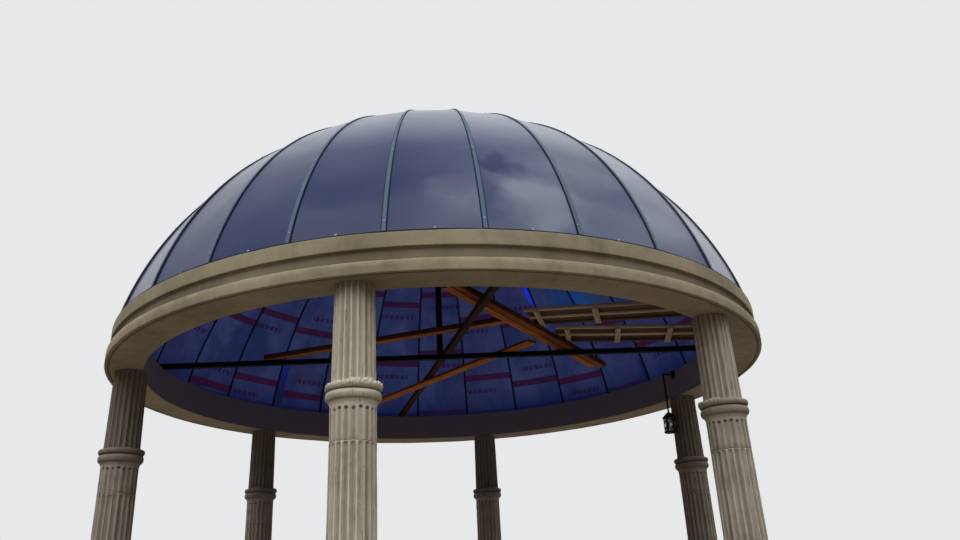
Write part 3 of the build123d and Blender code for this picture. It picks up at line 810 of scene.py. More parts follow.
# The bases take the darker copy of the concrete, which holds painted shade.
bases.data.materials.append(shaded_concrete)
print("base faces:", len(bases.data.polygons))

# %% [markdown]
# ## Dome sheet
#
# The covering is a glossy blue plastic sheet, a few millimetres thick, cut into twenty-eight gores
# that bend only from foot to crown. Thin sheet never lies quite flat between its ribs, so each gore
# is a fine grid pushed in and out by a slow noise that fades to nothing at the seams. That
# oil-canning is what breaks the sky's reflection into soft bands. A paler tone, partly haze and
# partly painted sky reflection, lightens the blue as well: in broad bands, toward +X, over the
# crown, and in the spots of a short table. Four neighbouring gores share a mesh, as in the
# construction.

# %% Gore geometry
sheet_thickness = 0.004
foot_level = ring_top + 0.006
foot_polar = math.acos((foot_level - dome_centre) / dome_radius)
top_polar = math.asin(0.118 / dome_radius)
gores_per_piece = 4
gore_across, gore_along = 17, 48
oil_canning = 0.010


def gore_frame(gore):
    """The azimuth of a gore's middle line."""
    return first_seam + gore_step * (gore + 0.5)


def gore_surface(gore, polar, across, inset, gap=0.0015):
    """Points on a gore: polar angle from the crown, across from -1 to 1, inset below the outer face."""
    middle = gore_frame(gore)
    radius = dome_radius - inset
    plan = radius * math.cos(half_gore) * np.sin(polar)
    side = across * np.maximum(plan * math.tan(half_gore) - gap, 0)
    height = dome_centre + radius * np.cos(polar)
    x = plan * math.cos(middle) - side * math.sin(middle)
    y = plan * math.sin(middle) + side * math.cos(middle)
    return np.stack([x, y, height], axis=-1)


def gore_wave(gore, polar, across):
    """How far the sheet is pushed in at a point: nothing at the seams and edges, most mid-way."""
    along = polar * dome_radius
    wave = np.zeros(polar.shape)
    for index in np.ndindex(polar.shape):
        place = Vector((along[index] * 1.5, across[index] * 0.55, gore * 3.7))
        wave[index] = 0.5 + 0.62 * noise.noise(place) + 0.16 * noise.noise(place * 2.9)
    edge = (1 - across**2) ** 0.7
    return oil_canning * edge * np.clip(wave, 0, 1)


def panel(gore, polar_low, polar_high, across_low, across_high, outer, thickness, edges=None):
    """A closed thin panel on a gore: outer and inner grids joined by a rim. Returns points, skin, faces."""
    polar, across = np.meshgrid(
        np.linspace(polar_low, polar_high, gore_along),
        np.linspace(across_low, across_high, gore_across), indexing="ij",
    )
    if edges:
        left, right = edges(gore, polar)
        across = left + (right - left) * (across - across_low) / (across_high - across_low)
    wave = gore_wave(gore, polar, across)
    outside = gore_surface(gore, polar, across, outer + wave)
    inside = gore_surface(gore, polar, across, outer + wave + thickness)
    count = gore_along * gore_across
    faces = grid_faces(gore_along, gore_across)
    faces += [face[::-1] for face in grid_faces(gore_along, gore_across, start=count)]
    rim = [row * gore_across for row in range(gore_along)]
    rim += [(gore_along - 1) * gore_across + column for column in range(1, gore_across)]
    rim += [row * gore_across + gore_across - 1 for row in range(gore_along - 2, -1, -1)]
    rim += list(range(gore_across - 2, 0, -1))
    faces += [[a, b, b + count, a + count] for a, b in zip(rim, rim[1:] + rim[:1])]
    width = dome_radius * np.sin(polar) * math.tan(half_gore)
    skin = np.stack([across * width + gore * 2.0, (foot_polar - polar) * dome_radius, across], axis=-1)
    points = np.vstack([outside.reshape(-1, 3), inside.reshape(-1, 3)])
    return points, np.vstack([skin.reshape(-1, 3)] * 2), faces


def joined(parts):
    """Stack several (points, skin, faces) into one."""
    points, skin, faces, start = [], [], [], 0
    for part_points, part_skin, part_faces in parts:
        points.append(part_points)
        skin.append(part_skin)
        faces += [[i + start for i in face] for face in part_faces]
        start += len(part_points)
    return np.vstack(points), np.vstack(skin), faces


# %% Sheet material
# Where haze and painted highlights pale the sheet (or, below nothing, darken it): gore, across, height, reach and
# strength.
haze_and_highlight_spots = [
    (22, 0.45, 0.22, 0.34, 0.75), (22, 0.0, 0.34, 0.20, 0.35), (22, -0.45, 0.60, 0.16, -0.45),
    (23, -0.2, 0.62, 0.30, 0.30), (24, 0.2, 0.80, 0.40, 0.45), (21, 0.1, 0.27, 0.17, 0.22),
    (9, 0.3, 0.5, 0.6, 0.25), (12, -0.2, 0.9, 0.65, 0.3), (6, 0.1, 0.85, 0.6, 0.25), (3, 0.0, 0.4, 0.5, 0.2),
]


def place_on_dome(gore, across, height):
    """A point on a gore's outside, from how far across it is and its height along the curve."""
    return tuple(gore_surface(gore, np.array([foot_polar - height / dome_radius]), np.array([across]), 0.0)[0])


clear_blue, haze_and_sheen_blue, wisp_tone = (0.007, 0.018, 0.10), (0.19, 0.222, 0.305), (0.16, 0.18, 0.25)
crown_reflection_low, crown_reflection_high = ring_top + 0.70, ring_top + 1.02
most_haze_and_sheen = 1.3


def make_sheet():
    """Dark blue glossy plastic, paled by haze and painted sky reflection in broad soft bands, toward +X, over the
    crown and in spots.
    """
    material, tree, shader, place = start_material(
        "blue_sheet", ior=1.42, specular_ior_level=0.3, coat_weight=0.1, coat_roughness=0.1)
    skin = skin_of(tree)
    stretched = scaled(tree, skin, (0.5, 1.0, 0.0))
    bands = sharpen(tree, noise_at(tree, stretched, 1.5, 2.0, 0.4, 0.5), 0.36, 0.74)
    wisps = sharpen(tree, noise_at(tree, stretched, 3.4, 2.0, 0.5, 0.8), 0.45, 0.85)
    where = split(tree, place)
    # Paler toward +X: painted light, partly haze.
    right_side_haze_and_light = plus(tree, times(tree, sharpen(tree, where["X"], 0.1, 1.15), 0.88), 0.10)
    share = plus(tree, times(tree, bands, 0.75), 0.3)
    share = times(tree, share, right_side_haze_and_light)
    # Paler over the crown: painted sky reflection, partly haze.
    ragged = plus(tree, where["Z"], times(tree, bands, -0.10))
    crown = sharpen(tree, ragged, crown_reflection_low, crown_reflection_high)
    share = plus(tree, share, times(tree, crown, 0.62))
    swirl = node(tree, "ShaderNodeTexNoise", {"Vector": place, "Scale": 3.5, "Detail": 2.0}).outputs["Color"]
    swirl = node(tree, "ShaderNodeVectorMath", {0: swirl, 1: (0.5,) * 3}, operation="SUBTRACT").outputs[0]
    swirled = {0: swirl, 1: (0.45,) * 3, 2: place}
    swirl = node(tree, "ShaderNodeVectorMath", swirled, operation="MULTIPLY_ADD").outputs[0]
    # Spots of haze and painted highlight, and one darker spot.
    for gore, across, height, reach, strength in haze_and_highlight_spots:
        away = distance_from(tree, swirl, place_on_dome(gore, across, height))
        near = minus(tree, 1.0, sharpen(tree, away, 0.15 * reach, reach))
        share = plus(tree, share, times(tree, near, strength))
    share = math_node(tree, "MAXIMUM", math_node(tree, "MINIMUM", share, most_haze_and_sheen), 0.0)
    base = blend_colours(tree, times(tree, share, 0.77), clear_blue, haze_and_sheen_blue)
    base = blend_colours(tree, times(tree, wisps, 0.10), base, wisp_tone)
    tree.links.new(base, shader.inputs["Base Color"])
    rough = plus(tree, 0.2, times(tree, wisps, 0.12))
    tree.links.new(rough, shader.inputs["Roughness"])
    ripple = noise_at(tree, stretched, 5.0, 3.0, 0.5)
    bump(tree, shader, ripple, 0.12, 0.02)
    return material


blue_sheet = make_sheet()
for group in range(gore_count // gores_per_piece):
    gores = [group * gores_per_piece + k for k in range(gores_per_piece)]
    parts = [panel(g, foot_polar, top_polar, -1, 1, 0.0002, sheet_thickness) for g in gores]
    points, skin, faces = joined(parts)
    sheet_piece = make_piece(
        f"dome_gores_{group + 1}", points, faces, [f"dome_sheets_{group + 1}"], skin, sharp=50)
    sheet_piece.data.materials.append(blue_sheet)
print("gores:", gore_count, "faces each:", len(parts[0][2]))

# %% [markdown]
# ## Protective film
#
# New sheet comes with a printed film, and nobody has peeled it off the underside. It is milky, so
# daylight through the sheet glows in it, and it carries wide purple stripes across each gore, with a
# row of plain dashes beside every stripe. The roll was cut anywhere, so the stripes start at another
# height on each gore: a short table gives the height of the first one. The film ends a hand's width
# above the foot, and here and there it stops short of a rib. There the bare sheet shows, a strong
# blue where light comes through it and a dark one behind the foot ring.
#
# The print is placed by the `skin` of the mesh. Its second value is the height above the first
# stripe. Its third is the distance across from the middle of the dashes, and ten more than that
# where they stand above their stripe instead of below it.

# %% Where the print lies
film_period = 0.68
stripe_height = 0.068
film_thickness = 0.0006
dash_offset = 0.15
dash_height, dash_period, dash_share, dash_reach = 0.044, 0.058, 0.72, 0.17
above_code = 10.0
first_stripe = {
    2: 0.42, 3: 0.06, 4: 0.27, 5: 0.32, 6: 0.43, 7: 0.06, 8: 0.62, 9: 0.05, 10: 0.19, 11: 0.28, 12: 0.13,
}
dashes_above = (5, 10, 12)


def film_skin(gore, skin):
    """Turn a gore's skin into places on its print."""
    seed = gore * 0.618 % 1.0
    printed = skin.copy()
    printed[:, 1] -= first_stripe.get(gore, seed * film_period)
    shift = 0.10 * math.sin(gore * 2.4)
    above_stripe = gore in dashes_above or gore > 13 and gore % 3 == 0
    printed[:, 2] = skin[:, 0] - gore * 2.0 - shift + (above_code if above_stripe else 0)
    return printed


# %% Film material
# The foot and fold tones are painted shade, and the thin tone is a painted glow where daylight comes through.
film_deep, film_milky, film_pink = (0.034, 0.056, 0.21), (0.076, 0.110, 0.32), (0.070, 0.060, 0.22)
film_foot_shade, film_fold_shade, film_thin_glow = (0.010, 0.018, 0.16), (0.03, 0.035, 0.14), (0.016, 0.15, 0.60)
stripe_ink, dash_ink = (0.068, 0.011, 0.065), (0.046, 0.012, 0.085)


def make_film():
    """Milky film: purple stripes and plain dashes by the skin, creases painted in shade, painted shade near the foot,
    and a painted glow for the daylight behind it.
    """
    material, tree, shader, place = start_material("printed_film", roughness=0.6, specular_ior_level=0.06)
    skin = skin_of(tree)
    parts = split(tree, skin)
    phase = math_node(tree, "FRACT", plus(tree, math_node(tree, "DIVIDE", parts["Y"], film_period), 10.5))
    offset = times(tree, minus(tree, phase, 0.5), film_period)
    stripe = math_node(tree, "LESS_THAN", math_node(tree, "ABSOLUTE", offset), stripe_height / 2)
    above = math_node(tree, "GREATER_THAN", parts["Z"], above_code / 2)
    aside = minus(tree, parts["Z"], times(tree, above, above_code))
    row_level = times(tree, minus(tree, times(tree, above, 2.0), 1.0), dash_offset)
    from_row = math_node(tree, "ABSOLUTE", minus(tree, offset, row_level))
    row = math_node(tree, "LESS_THAN", from_row, dash_height / 2)
    dash_count = plus(tree, math_node(tree, "DIVIDE", aside, dash_period), 20.3)
    dash = math_node(tree, "LESS_THAN", math_node(tree, "FRACT", dash_count), dash_share)
    within = math_node(tree, "LESS_THAN", math_node(tree, "ABSOLUTE", aside), dash_reach)
    dashes = times(tree, times(tree, row, dash), within)
    worn = sharpen(tree, noise_at(tree, skin, 45.0, 4.0, 0.6), 0.25, 0.5)
    milky = sharpen(tree, noise_at(tree, skin, 2.0, 4.0, 0.6, 0.6), 0.32, 0.7)
    pinkish = sharpen(tree, noise_at(tree, place, 1.6, 3.0, 0.5), 0.45, 0.65)
    base = blend_colours(tree, milky, film_deep, film_milky)
    base = blend_colours(tree, times(tree, pinkish, 0.35), base, film_pink)
    level = split(tree, place)["Z"]
    # Painted shade near the foot, behind the ring.
    foot_shade = minus(tree, 1.0, sharpen(tree, level, foot_level - 0.05, foot_level + 0.33))
    base = blend_colours(tree, times(tree, foot_shade, 0.75), base, film_foot_shade)
    printed = times(tree, stripe, plus(tree, 0.72, times(tree, worn, 0.22)))
    base = blend_colours(tree, printed, base, stripe_ink)
    base = blend_colours(tree, times(tree, dashes, times(tree, worn, 0.82)), base, dash_ink)
    # Painted shade along the creases.
    fold = noise_at(tree, scaled(tree, skin, (1.0, 0.5, 0.0)), 5.0, 5.0, 0.6, 1.5)
    fold_shade = minus(tree, 1.0, sharpen(tree, math_node(tree, "ABSOLUTE", minus(tree, fold, 0.5)), 0.0, 0.018))
    base = blend_colours(tree, times(tree, fold_shade, 0.3), base, film_fold_shade)
    # A painted glow where the film is thin and daylight comes through.
    from_patch = distance_from(tree, place, tuple(thin_film_place))
    thin = minus(tree, 1.0, sharpen(tree, from_patch, 0.02, 0.36))
    thin = times(tree, thin, plus(tree, 0.45, times(tree, milky, 0.55)))
    base = blend_colours(tree, thin, base, film_thin_glow)
    tree.links.new(base, shader.inputs["Base Color"])
    # The film glows in its own colour: painted light for daylight through the sheet.
    tree.links.new(base, shader.inputs["Emission Color"])
    shader.inputs["Emission Strength"].default_value = 0.2
    crease = noise_at(tree, scaled(tree, skin, (1.0, 0.6, 0.0)), 9.0, 5.0, 0.6, 1.5)
    bump(tree, shader, crease, 0.35, 0.004)
    return material


def make_bare_sheet():
    """The sheet's own underside: a strong clear blue from the daylight, dark just above the foot."""
    material, tree, shader, place = start_material(
        "bare_underside", roughness=0.35, ior=1.4, specular_ior_level=0.1)
    skin = skin_of(tree)
    level = split(tree, skin)["Y"]
    lit = sharpen(tree, level, 0.12, 1.3)
    cloud = noise_at(tree, place, 5.0, 3.0, 0.5)
    clear = blend_colours(tree, cloud, (0.006, 0.013, 0.40), (0.012, 0.045, 0.75))
    base = blend_colours(tree, lit, (0.005, 0.007, 0.045), clear)
    tree.links.new(base, shader.inputs["Base Color"])
    tree.links.new(base, shader.inputs["Emission Color"])
    shader.inputs["Emission Strength"].default_value = 0.75
    return material


# %% Film on the gores
# Where the film is thin and takes a painted glow: gore, height and place across.
thin_film_gore, thin_film_height, thin_film_aside = 3, 1.14, 0.95
thin_film_polar = np.array([foot_polar - thin_film_height / dome_radius])
thin_film_place = gore_surface(thin_film_gore, thin_film_polar, np.array([thin_film_aside]), sheet_thickness)[0]
printed_film = make_film()
bare_underside = make_bare_sheet()
# Where the film stops short: gore, side seen from below, lowest and highest place, and width left bare.
short_film = {
    10: (1, 0.0, 0.55, 0.075), 5: (-1, 1.2, 1.5, 0.05), 3: (-1, 0.0, 0.36, 0.032), 17: (1, 0.0, 0.6, 0.05),
    22: (-1, 0.3, 0.9, 0.05),
}
rib_cover = 0.034


def film_edges(gore, polar):
    """How far across a gore its film reaches at each height: from about -1 to about 1."""
    left, right = np.full(polar.shape, -1 + rib_cover), np.full(polar.shape, 1 - rib_cover)
    if gore in short_film:
        side, low, high, width = short_film[gore]
        level = (foot_polar - polar) * dome_radius
        soft = np.clip((level - low) / 0.03 + 1, 0, 1) * np.clip((high - level) / 0.05, 0, 1)
        share = soft * width / (dome_radius * np.sin(polar) * math.tan(half_gore))
        if side > 0:
            right = right - share
        else:
            left = left + share
    return left, right


for group in range(gore_count // gores_per_piece):
    parts, bare = [], []
    for gore in range(group * gores_per_piece, (group + 1) * gores_per_piece):
        foot_gap = (0.068 + 0.018 * noise.noise(Vector((gore * 1.7, 0.4, 0)))) / dome_radius
        points, skin, faces = panel(gore, foot_polar - foot_gap, top_polar + 0.02, -1 + rib_cover, 1 - rib_cover,
                                    sheet_thickness + 0.0006, film_thickness, edges=film_edges)
        parts.append((points, film_skin(gore, skin), faces))
        bare.append(panel(gore, foot_polar - 0.003, top_polar + 0.02, -1 + rib_cover, 1 - rib_cover,
                          sheet_thickness + 0.0003, 0.0002))
    points, skin, faces = joined(parts)
    film = make_piece(f"film_{group + 1}", points, faces, (), skin, sharp=60)
    film.data.materials.append(printed_film)
    points, skin, faces = joined(bare)
    under = make_piece(f"sheet_underside_{group + 1}", points, faces, (), skin, sharp=60)
    under.data.materials.append(bare_underside)
print("film pieces:", gore_count // gores_per_piece)

# %% [markdown]
# ## Cover strips
#
# A low metal strip hides each seam outside, bedded in dark sealant that squeezes out along both
# edges. From a distance that reads as a blue line between two black ones. The strip is a small
# profile carried up the seam's arc, and the sealant is a second, wider and lower one. Both grow
# narrower toward the crown, and the strip's skin marks its steep sides, which are painted dark as shade.

# %% Strips and sealant
cover_low = points_of("cover_strips_1")[:, 2].min()
cover_start = math.acos((cover_low - dome_centre) / dome_radius)
cover_end = math.asin(0.172 / dome_radius)
strip_section = [(-0.0135, -0.001), (-0.0133, 0.0055), (-0.0120, 0.0074), (-0.0100, 0.0082), (-0.005, 0.0088),
                 (0.005, 0.0088), (0.0100, 0.0082), (0.0120, 0.0074), (0.0133, 0.0055), (0.0135, -0.001)]
bead_section = [(-0.0172, -0.003), (-0.0178, 0.0005), (-0.0155, 0.003), (-0.0125, 0.0032), (0.0125, 0.0032),
                (0.0155, 0.003), (0.0178, 0.0005), (0.0172, -0.003)]
strip_rows = 60


def strip(seam, section, wander):
    """A closed strip along one seam: a section of (aside, above) points, narrower toward the crown."""
    azimuth = first_seam + gore_step * seam
    polar = np.linspace(cover_start, cover_end, strip_rows)
    out = np.array([math.cos(azimuth), math.sin(azimuth), 0.0])
    aside = np.array([-math.sin(azimuth), math.cos(azimuth), 0.0])
    points, skin = [], []
    for row, angle in enumerate(polar):
        lift = np.array([out[0] * math.sin(angle), out[1] * math.sin(angle), math.cos(angle)])
        drift = wander * noise.noise(Vector((seam * 2.3, row * 0.21, 0)))
        taper = 1 - 0.52 * min(1.0, max(0.0, (foot_polar - angle) * dome_radius / 1.5 - 0.25))
        for s, h in section:
            above = h * taper if h > 0 else h
            seam_point = np.array([0, 0, dome_centre]) + lift * (dome_radius + 0.0003 + above)
            points.append(seam_point + aside * (s * taper + drift))
            # The skin's third value marks the steep sides, which are painted dark as shade.
            skin.append((s + seam, (foot_polar - angle) * dome_radius, 1.0 if abs(s) > 0.0105 else 0.0))
    columns = len(section)
    faces = grid_faces(strip_rows, columns, wrap=True)
    faces += [list(range(columns))[::-1], list(range((strip_rows - 1) * columns, strip_rows * columns))]
    return np.array(points), np.array(skin), faces


def make_painted(name, tone, worn_tone, rough, scale, **constants):
    """Painted metal: a tone with dusty patches, chips where the mask is strongest, painted shade on sides that the
    skin marks, and brushed relief.
    """
    material, tree, shader, place = start_material(name, **constants)
    patches = use_group(tree, mottle, {"Vector": place, "Scale": scale, "Contrast": 0.22})
    skin = skin_of(tree)
    side = sharpen(tree, split(tree, skin)["Z"], 0.3, 0.9)
    chips = sharpen(tree, noise_at(tree, place, scale * 14, 5.0, 0.7), 0.66, 0.74)
    base = blend_colours(tree, times(tree, patches["Mask"], 0.55), tone, worn_tone)
    chipped = [tone_part * 1.8 + 0.02 for tone_part in worn_tone]
    base = blend_colours(tree, times(tree, chips, 0.5), base, chipped)
    # Where the skin marks a steep side, the tone is darkened: painted shade.
    base = blend_colours(tree, side, base, [tone_part * 0.12 for tone_part in tone])
    tree.links.new(base, shader.inputs["Base Color"])
    tree.links.new(plus(tree, rough, times(tree, patches["Mask"], 0.2)), shader.inputs["Roughness"])
    bump(tree, shader, patches["Height"], 0.25, 0.003)
    return material


strip_blue = make_painted(
    "strip_blue", (0.045, 0.10, 0.19), (0.085, 0.15, 0.24), 0.35, 6.0, specular_ior_level=0.3)
sealant = make_painted(
    "sealant", (0.008, 0.012, 0.026), (0.02, 0.026, 0.045), 0.5, 12.0, specular_ior_level=0.2)
seams_per_piece = 14
for group in range(gore_count // seams_per_piece):
    seams = range(group * seams_per_piece, (group + 1) * seams_per_piece)
    points, skin, faces = joined([strip(s, strip_section, 0.0) for s in seams])
    covers = make_piece(
        f"seam_strips_{group + 1}", points, faces, [f"cover_strips_{group + 1}"], skin, sharp=50)
    covers.data.materials.append(strip_blue)
    points, skin, faces = joined([strip(s, bead_section, 0.0006) for s in seams])
    beads = make_piece(f"seam_sealant_{group + 1}", points, faces, (), skin, sharp=60)
    beads.data.materials.append(sealant)
print("strips:", gore_count)

# %% [markdown]
# ## Screws
#
# One pan-head screw holds each gore at the middle of its foot, and four hold each strip. All are one
# mesh: a small turned dome, copied and turned to stand square on its surface.

# %% Screw heads
def dome_place(azimuth, polar, aside, above, flat=1.0):
    """A point on the dome's outside and its outward direction, moved aside along the foot."""
    lift = Vector((math.cos(azimuth) * math.sin(polar), math.sin(azimuth) * math.sin(polar), math.cos(polar)))
    across = Vector((-math.sin(azimuth), math.cos(azimuth), 0))
    return Vector((0, 0, dome_centre)) + lift * (dome_radius * flat + above) + across * aside, lift


def screw_head(place, lift, radius=0.0065, steps=8):
    """Points and faces of a domed head with a washer, standing on a surface."""
    profile = [(radius * 1.25, -0.001), (radius * 1.25, 0.0008), (radius, 0.0012), (radius * 0.95, 0.0022),
               (radius * 0.7, 0.0034), (radius * 0.35, 0.004), (radius * 0.12, 0.0036)]
    aside = lift.orthogonal().normalized()
    across = lift.cross(aside)
    points = [place + (aside * math.cos(t) + across * math.sin(t)) * r + lift * h
              for r, h in profile for t in np.linspace(0, 2 * math.pi, steps, endpoint=False)]
    faces = grid_faces(len(profile), steps, wrap=True)
    faces += [list(range(steps))[::-1], list(range((len(profile) - 1) * steps, len(profile) * steps))]
    return np.array([tuple(p) for p in points]), np.zeros((len(points), 3)), faces


screw_polar = foot_polar - 0.011
strip_screw_heights = (0.075, 0.74, 1.40, 2.06)
foot_screw_radius, strip_screw_radius = 0.0055, 0.0045
foot_screw_sink, strip_screw_sink = 0.002, 0.0002
strip_top = 0.0088
screws = []
for gore in range(gore_count):
    place = dome_place(gore_frame(gore), screw_polar, 0, -foot_screw_sink, flat=math.cos(half_gore))
    screws.append(screw_head(*place, radius=foot_screw_radius))
    for level in strip_screw_heights:
        seam = first_seam + gore_step * gore
        place = dome_place(seam, foot_polar - level / dome_radius, 0, strip_top - strip_screw_sink)
        screws.append(screw_head(*place, radius=strip_screw_radius))
points, skin, faces = joined(screws)
foot_screws = make_piece("foot_screws", points, faces, (), skin, sharp=50)
zinc = make_painted("zinc", (0.34, 0.36, 0.39), (0.5, 0.5, 0.5), 0.4, 30.0, metallic=0.6)
foot_screws.data.materials.append(zinc)
print("screws:", len(screws))

# %% [markdown]
# ## Steelwork
#
# The ribs, the foot ring, the hub, the cap, the tie and the king post have their true shape already,
# so they keep the construction's mesh and get only a finish: dark paint with dusty patches and small
# chips.

# %% Steel finishes
rib_paint = make_painted(
    "rib_paint", (0.008, 0.010, 0.026), (0.02, 0.024, 0.05), 0.6, 5.0, specular_ior_level=0.12)
black_paint = make_painted(
    "black_paint", (0.004, 0.004, 0.005), (0.010, 0.009, 0.009), 0.7, 4.0, specular_ior_level=0.04)


def finish_node(name, material):
    """Give a CAD node that keeps its own mesh a finish."""
    piece = nodes[name]
    if not piece.material_slots:
        piece.data.materials.append(material)
    for material_slot in piece.material_slots:
        material_slot.material = material


for name in ("dome_ribs_1", "dome_ribs_2", "foot_ring", "crown_hub"):
    finish_node(name, rib_paint)
for name in ("tie_tube", "king_post", "lantern_arm"):
    finish_node(name, black_paint)
finish_node("crown_cap", strip_blue)
print("steel nodes finished")

# %% [markdown]
# ## Timbers
#
# The props, battens and planks are rough sawn softwood. Faces that look down are painted lighter and
# more orange, as lit from the ground, and the upper faces and sides darker, as in shade. Each is a long
# grid with worn arrises, laid on the axes of its CAD solid: the largest flat area faces one way, the
# next largest another. A node may hold several solids, so its corners are first sorted into solids.

# %% Read a node's solids and axes
def solids_of(name):
    """The corners of each separate solid of a node: corners that share a face belong together."""
    mesh = nodes[name].data
    places = [tuple(round(value, 5) for value in vertex.co) for vertex in mesh.vertices]
    leader = {place: place for place in places}

    def lead(place):
        while leader[place] != place:
            place = leader[place]
        return place

    for face in mesh.polygons:
        first = lead(places[face.vertices[0]])
        for index in face.vertices[1:]:
            leader[lead(places[index])] = first
    groups = {}
    for place in leader:
        groups.setdefault(lead(place), []).append(place)
    return [np.array(group) for group in groups.values()]


def solid_axes(name):
    """The long, wide and thick directions of a box-like node."""
    mesh = nodes[name].data
    mesh.calc_loop_triangles()
    areas = {}
    for triangle in mesh.loop_triangles:
        normal = triangle.normal
        key = tuple(round(abs(v), 2) for v in normal)
        total, _ = areas.get(key, (0.0, normal))
        areas[key] = (total + triangle.area, normal.copy())
    ordered = sorted(areas.values(), key=lambda entry: -entry[0])
    first = ordered[0][1]
    second = next(n for _, n in ordered[1:] if abs(n.dot(first)) < 0.05)
    points = points_of(name)
    axes = [first, second, first.cross(second)]
    axes.sort(key=lambda axis: -np.ptp(points @ np.array(axis)))
    return [Vector(axis) for axis in axes]


def spans(points, axes):
    """The reach of points along each axis."""
    along = [points @ np.array(axis) for axis in axes]
    return [(reach.min(), reach.max()) for reach in along]


# %% A sawn bar
def sawn(axes, reach, seed=0.0, steps=40, arris=0.003):
    """A sawn bar on three axes between its limits: soft arrises and a rough face."""
    (x_axis, y_axis, z_axis), ((x0, x1), (y0, y1), (z0, z1)) = axes, reach
    y, z = (y1 - y0) / 2, (z1 - z0) / 2
    a = min(arris, y / 3, z / 3)
    section = [(-y, -z + a), (-y + a, -z), (-y / 3, -z), (y / 3, -z), (y - a, -z), (y, -z + a), (y, 0), (y, z - a),
               (y - a, z), (y / 3, z), (-y / 3, z), (-y + a, z), (-y, z - a), (-y, 0)]
    points, skin = [], []
    for x in np.linspace(x0, x1, steps):
        for s, h in section:
            rough = 0.0012 * noise.noise(Vector((x * 9 + seed, s * 40, h * 40)))
            keep = 1 - abs(rough) / max(y, z) - 0.012
            local = x_axis * x + y_axis * ((y0 + y1) / 2 + s * keep) + z_axis * ((z0 + z1) / 2 + h * keep)
            points.append(tuple(local))
            skin.append((s + seed, x, h))
    columns = len(section)
    faces = grid_faces(steps, columns, wrap=True)
    faces += [list(range(columns))[::-1], list(range((steps - 1) * columns, steps * columns))]
    return np.array(points), np.array(skin), faces


# %% Wood finishes
def make_grain():
    """Sawn grain along the second skin axis: growth lines, fine fibre and knots."""
    tree, entry, exit = start_group(
        "grain", [("Vector", "vector", None), ("Lines", "value", 30.0)],
        [("Line", "value"), ("Fibre", "value"), ("Knot", "value")],
    )
    squeezed = scaled(tree, entry.outputs["Vector"], (1.0, 0.055, 1.0))
    swirl = noise_at(tree, squeezed, entry.outputs["Lines"], 4.0, 0.6, 0.8)
    fibre = noise_at(tree, squeezed, times(tree, entry.outputs["Lines"], 9.0), 4.0, 0.7)
    cells = node(tree, "ShaderNodeTexVoronoi", {"Vector": entry.outputs["Vector"], "Scale": 3.2}).outputs["Distance"]
    knot = minus(tree, 1.0, sharpen(tree, cells, 0.03, 0.11))
    tree.links.new(swirl, exit.inputs["Line"])
    tree.links.new(fibre, exit.inputs["Fibre"])
    tree.links.new(knot, exit.inputs["Knot"])
    return tree


grain = make_grain()


def make_wood(name, light, dark, stain, under, wet=0.3):
    """Sawn timber: growth lines between two tones, knots, stained patches, and faces that look down painted lighter,
    as lit from below.
    """
    material, tree, shader, place = start_material(name, specular_ior_level=0.05)
    skin = skin_of(tree)
    lines = use_group(tree, grain, {"Vector": skin, "Lines": 34.0})
    facing = split(tree, tree.nodes.new("ShaderNodeNewGeometry").outputs["Normal"])["Z"]
    # Faces that look down take the lighter underside tone: painted light from the ground.
    below = sharpen(tree, times(tree, facing, -1.0), 0.45, 0.8)
    pale_lines_lit_below = blend_colours(tree, below, light, under)
    dark_lines_lit_below = blend_colours(tree, below, dark, [tone * 0.45 for tone in under])
    base = blend_colours(tree, sharpen(tree, lines["Line"], 0.38, 0.66), pale_lines_lit_below, dark_lines_lit_below)
    base = blend_colours(tree, times(tree, lines["Fibre"], 0.35), base, dark_lines_lit_below)
    patches = use_group(tree, mottle, {"Vector": place, "Scale": 2.6, "Contrast": 0.16})
    base = blend_colours(tree, times(tree, patches["Mask"], wet), base, stain)
    base = blend_colours(tree, times(tree, lines["Knot"], 0.7), base, [tone * 0.3 for tone in dark])
    tree.links.new(base, shader.inputs["Base Color"])
    tree.links.new(plus(tree, 0.66, times(tree, lines["Fibre"], 0.3)), shader.inputs["Roughness"])
    relief = plus(tree, lines["Fibre"], times(tree, lines["Line"], 0.6))
    bump(tree, shader, relief, 0.5, 0.002)
    return material


lit_underside_orange = (0.62, 0.23, 0.06)
orange_wood = make_wood(
    "orange_wood", (0.22, 0.075, 0.028), (0.09, 0.032, 0.014), (0.10, 0.035, 0.016), lit_underside_orange)
red_wood = make_wood(
    "red_wood", (0.16, 0.05, 0.022), (0.06, 0.022, 0.012), (0.05, 0.02, 0.012), (0.36, 0.12, 0.04), 0.5)
brown_wood = make_wood(
    "brown_wood", (0.11, 0.045, 0.02), (0.045, 0.02, 0.012), (0.03, 0.015, 0.01), (0.5, 0.2, 0.07), 0.4)
dark_wood = make_wood(
    "dark_wood", (0.034, 0.012, 0.010), (0.016, 0.006, 0.006), (0.008, 0.004, 0.004), (0.060, 0.020, 0.015), 0.5)
pale_wood = make_wood(
    "pale_wood", (0.56, 0.46, 0.31), (0.40, 0.31, 0.2), (0.26, 0.19, 0.12), (0.68, 0.57, 0.43), 0.3)
board_wood = make_wood(
    "board_wood", (0.12, 0.08, 0.05), (0.075, 0.048, 0.03), (0.04, 0.03, 0.02), (0.13, 0.085, 0.05), 0.4)

# %% Timbers on their solids
def timber_pieces(names, node_name, materials, seed):
    """One sawn bar for each solid of a node, on the node's axes, nearest to +Y first."""
    axes = solid_axes(node_name)
    solids = sorted(solids_of(node_name), key=lambda points: -points[:, 1].mean())
    for k, (name, points, material) in enumerate(zip(names, solids, materials)):
        points, skin, faces = sawn(axes, spans(points, axes), seed + k * 3.1)
        piece = make_piece(name, points, faces, [node_name], skin, sharp=50)
        piece.data.materials.append(material)
    print(node_name, "solids:", len(solids))


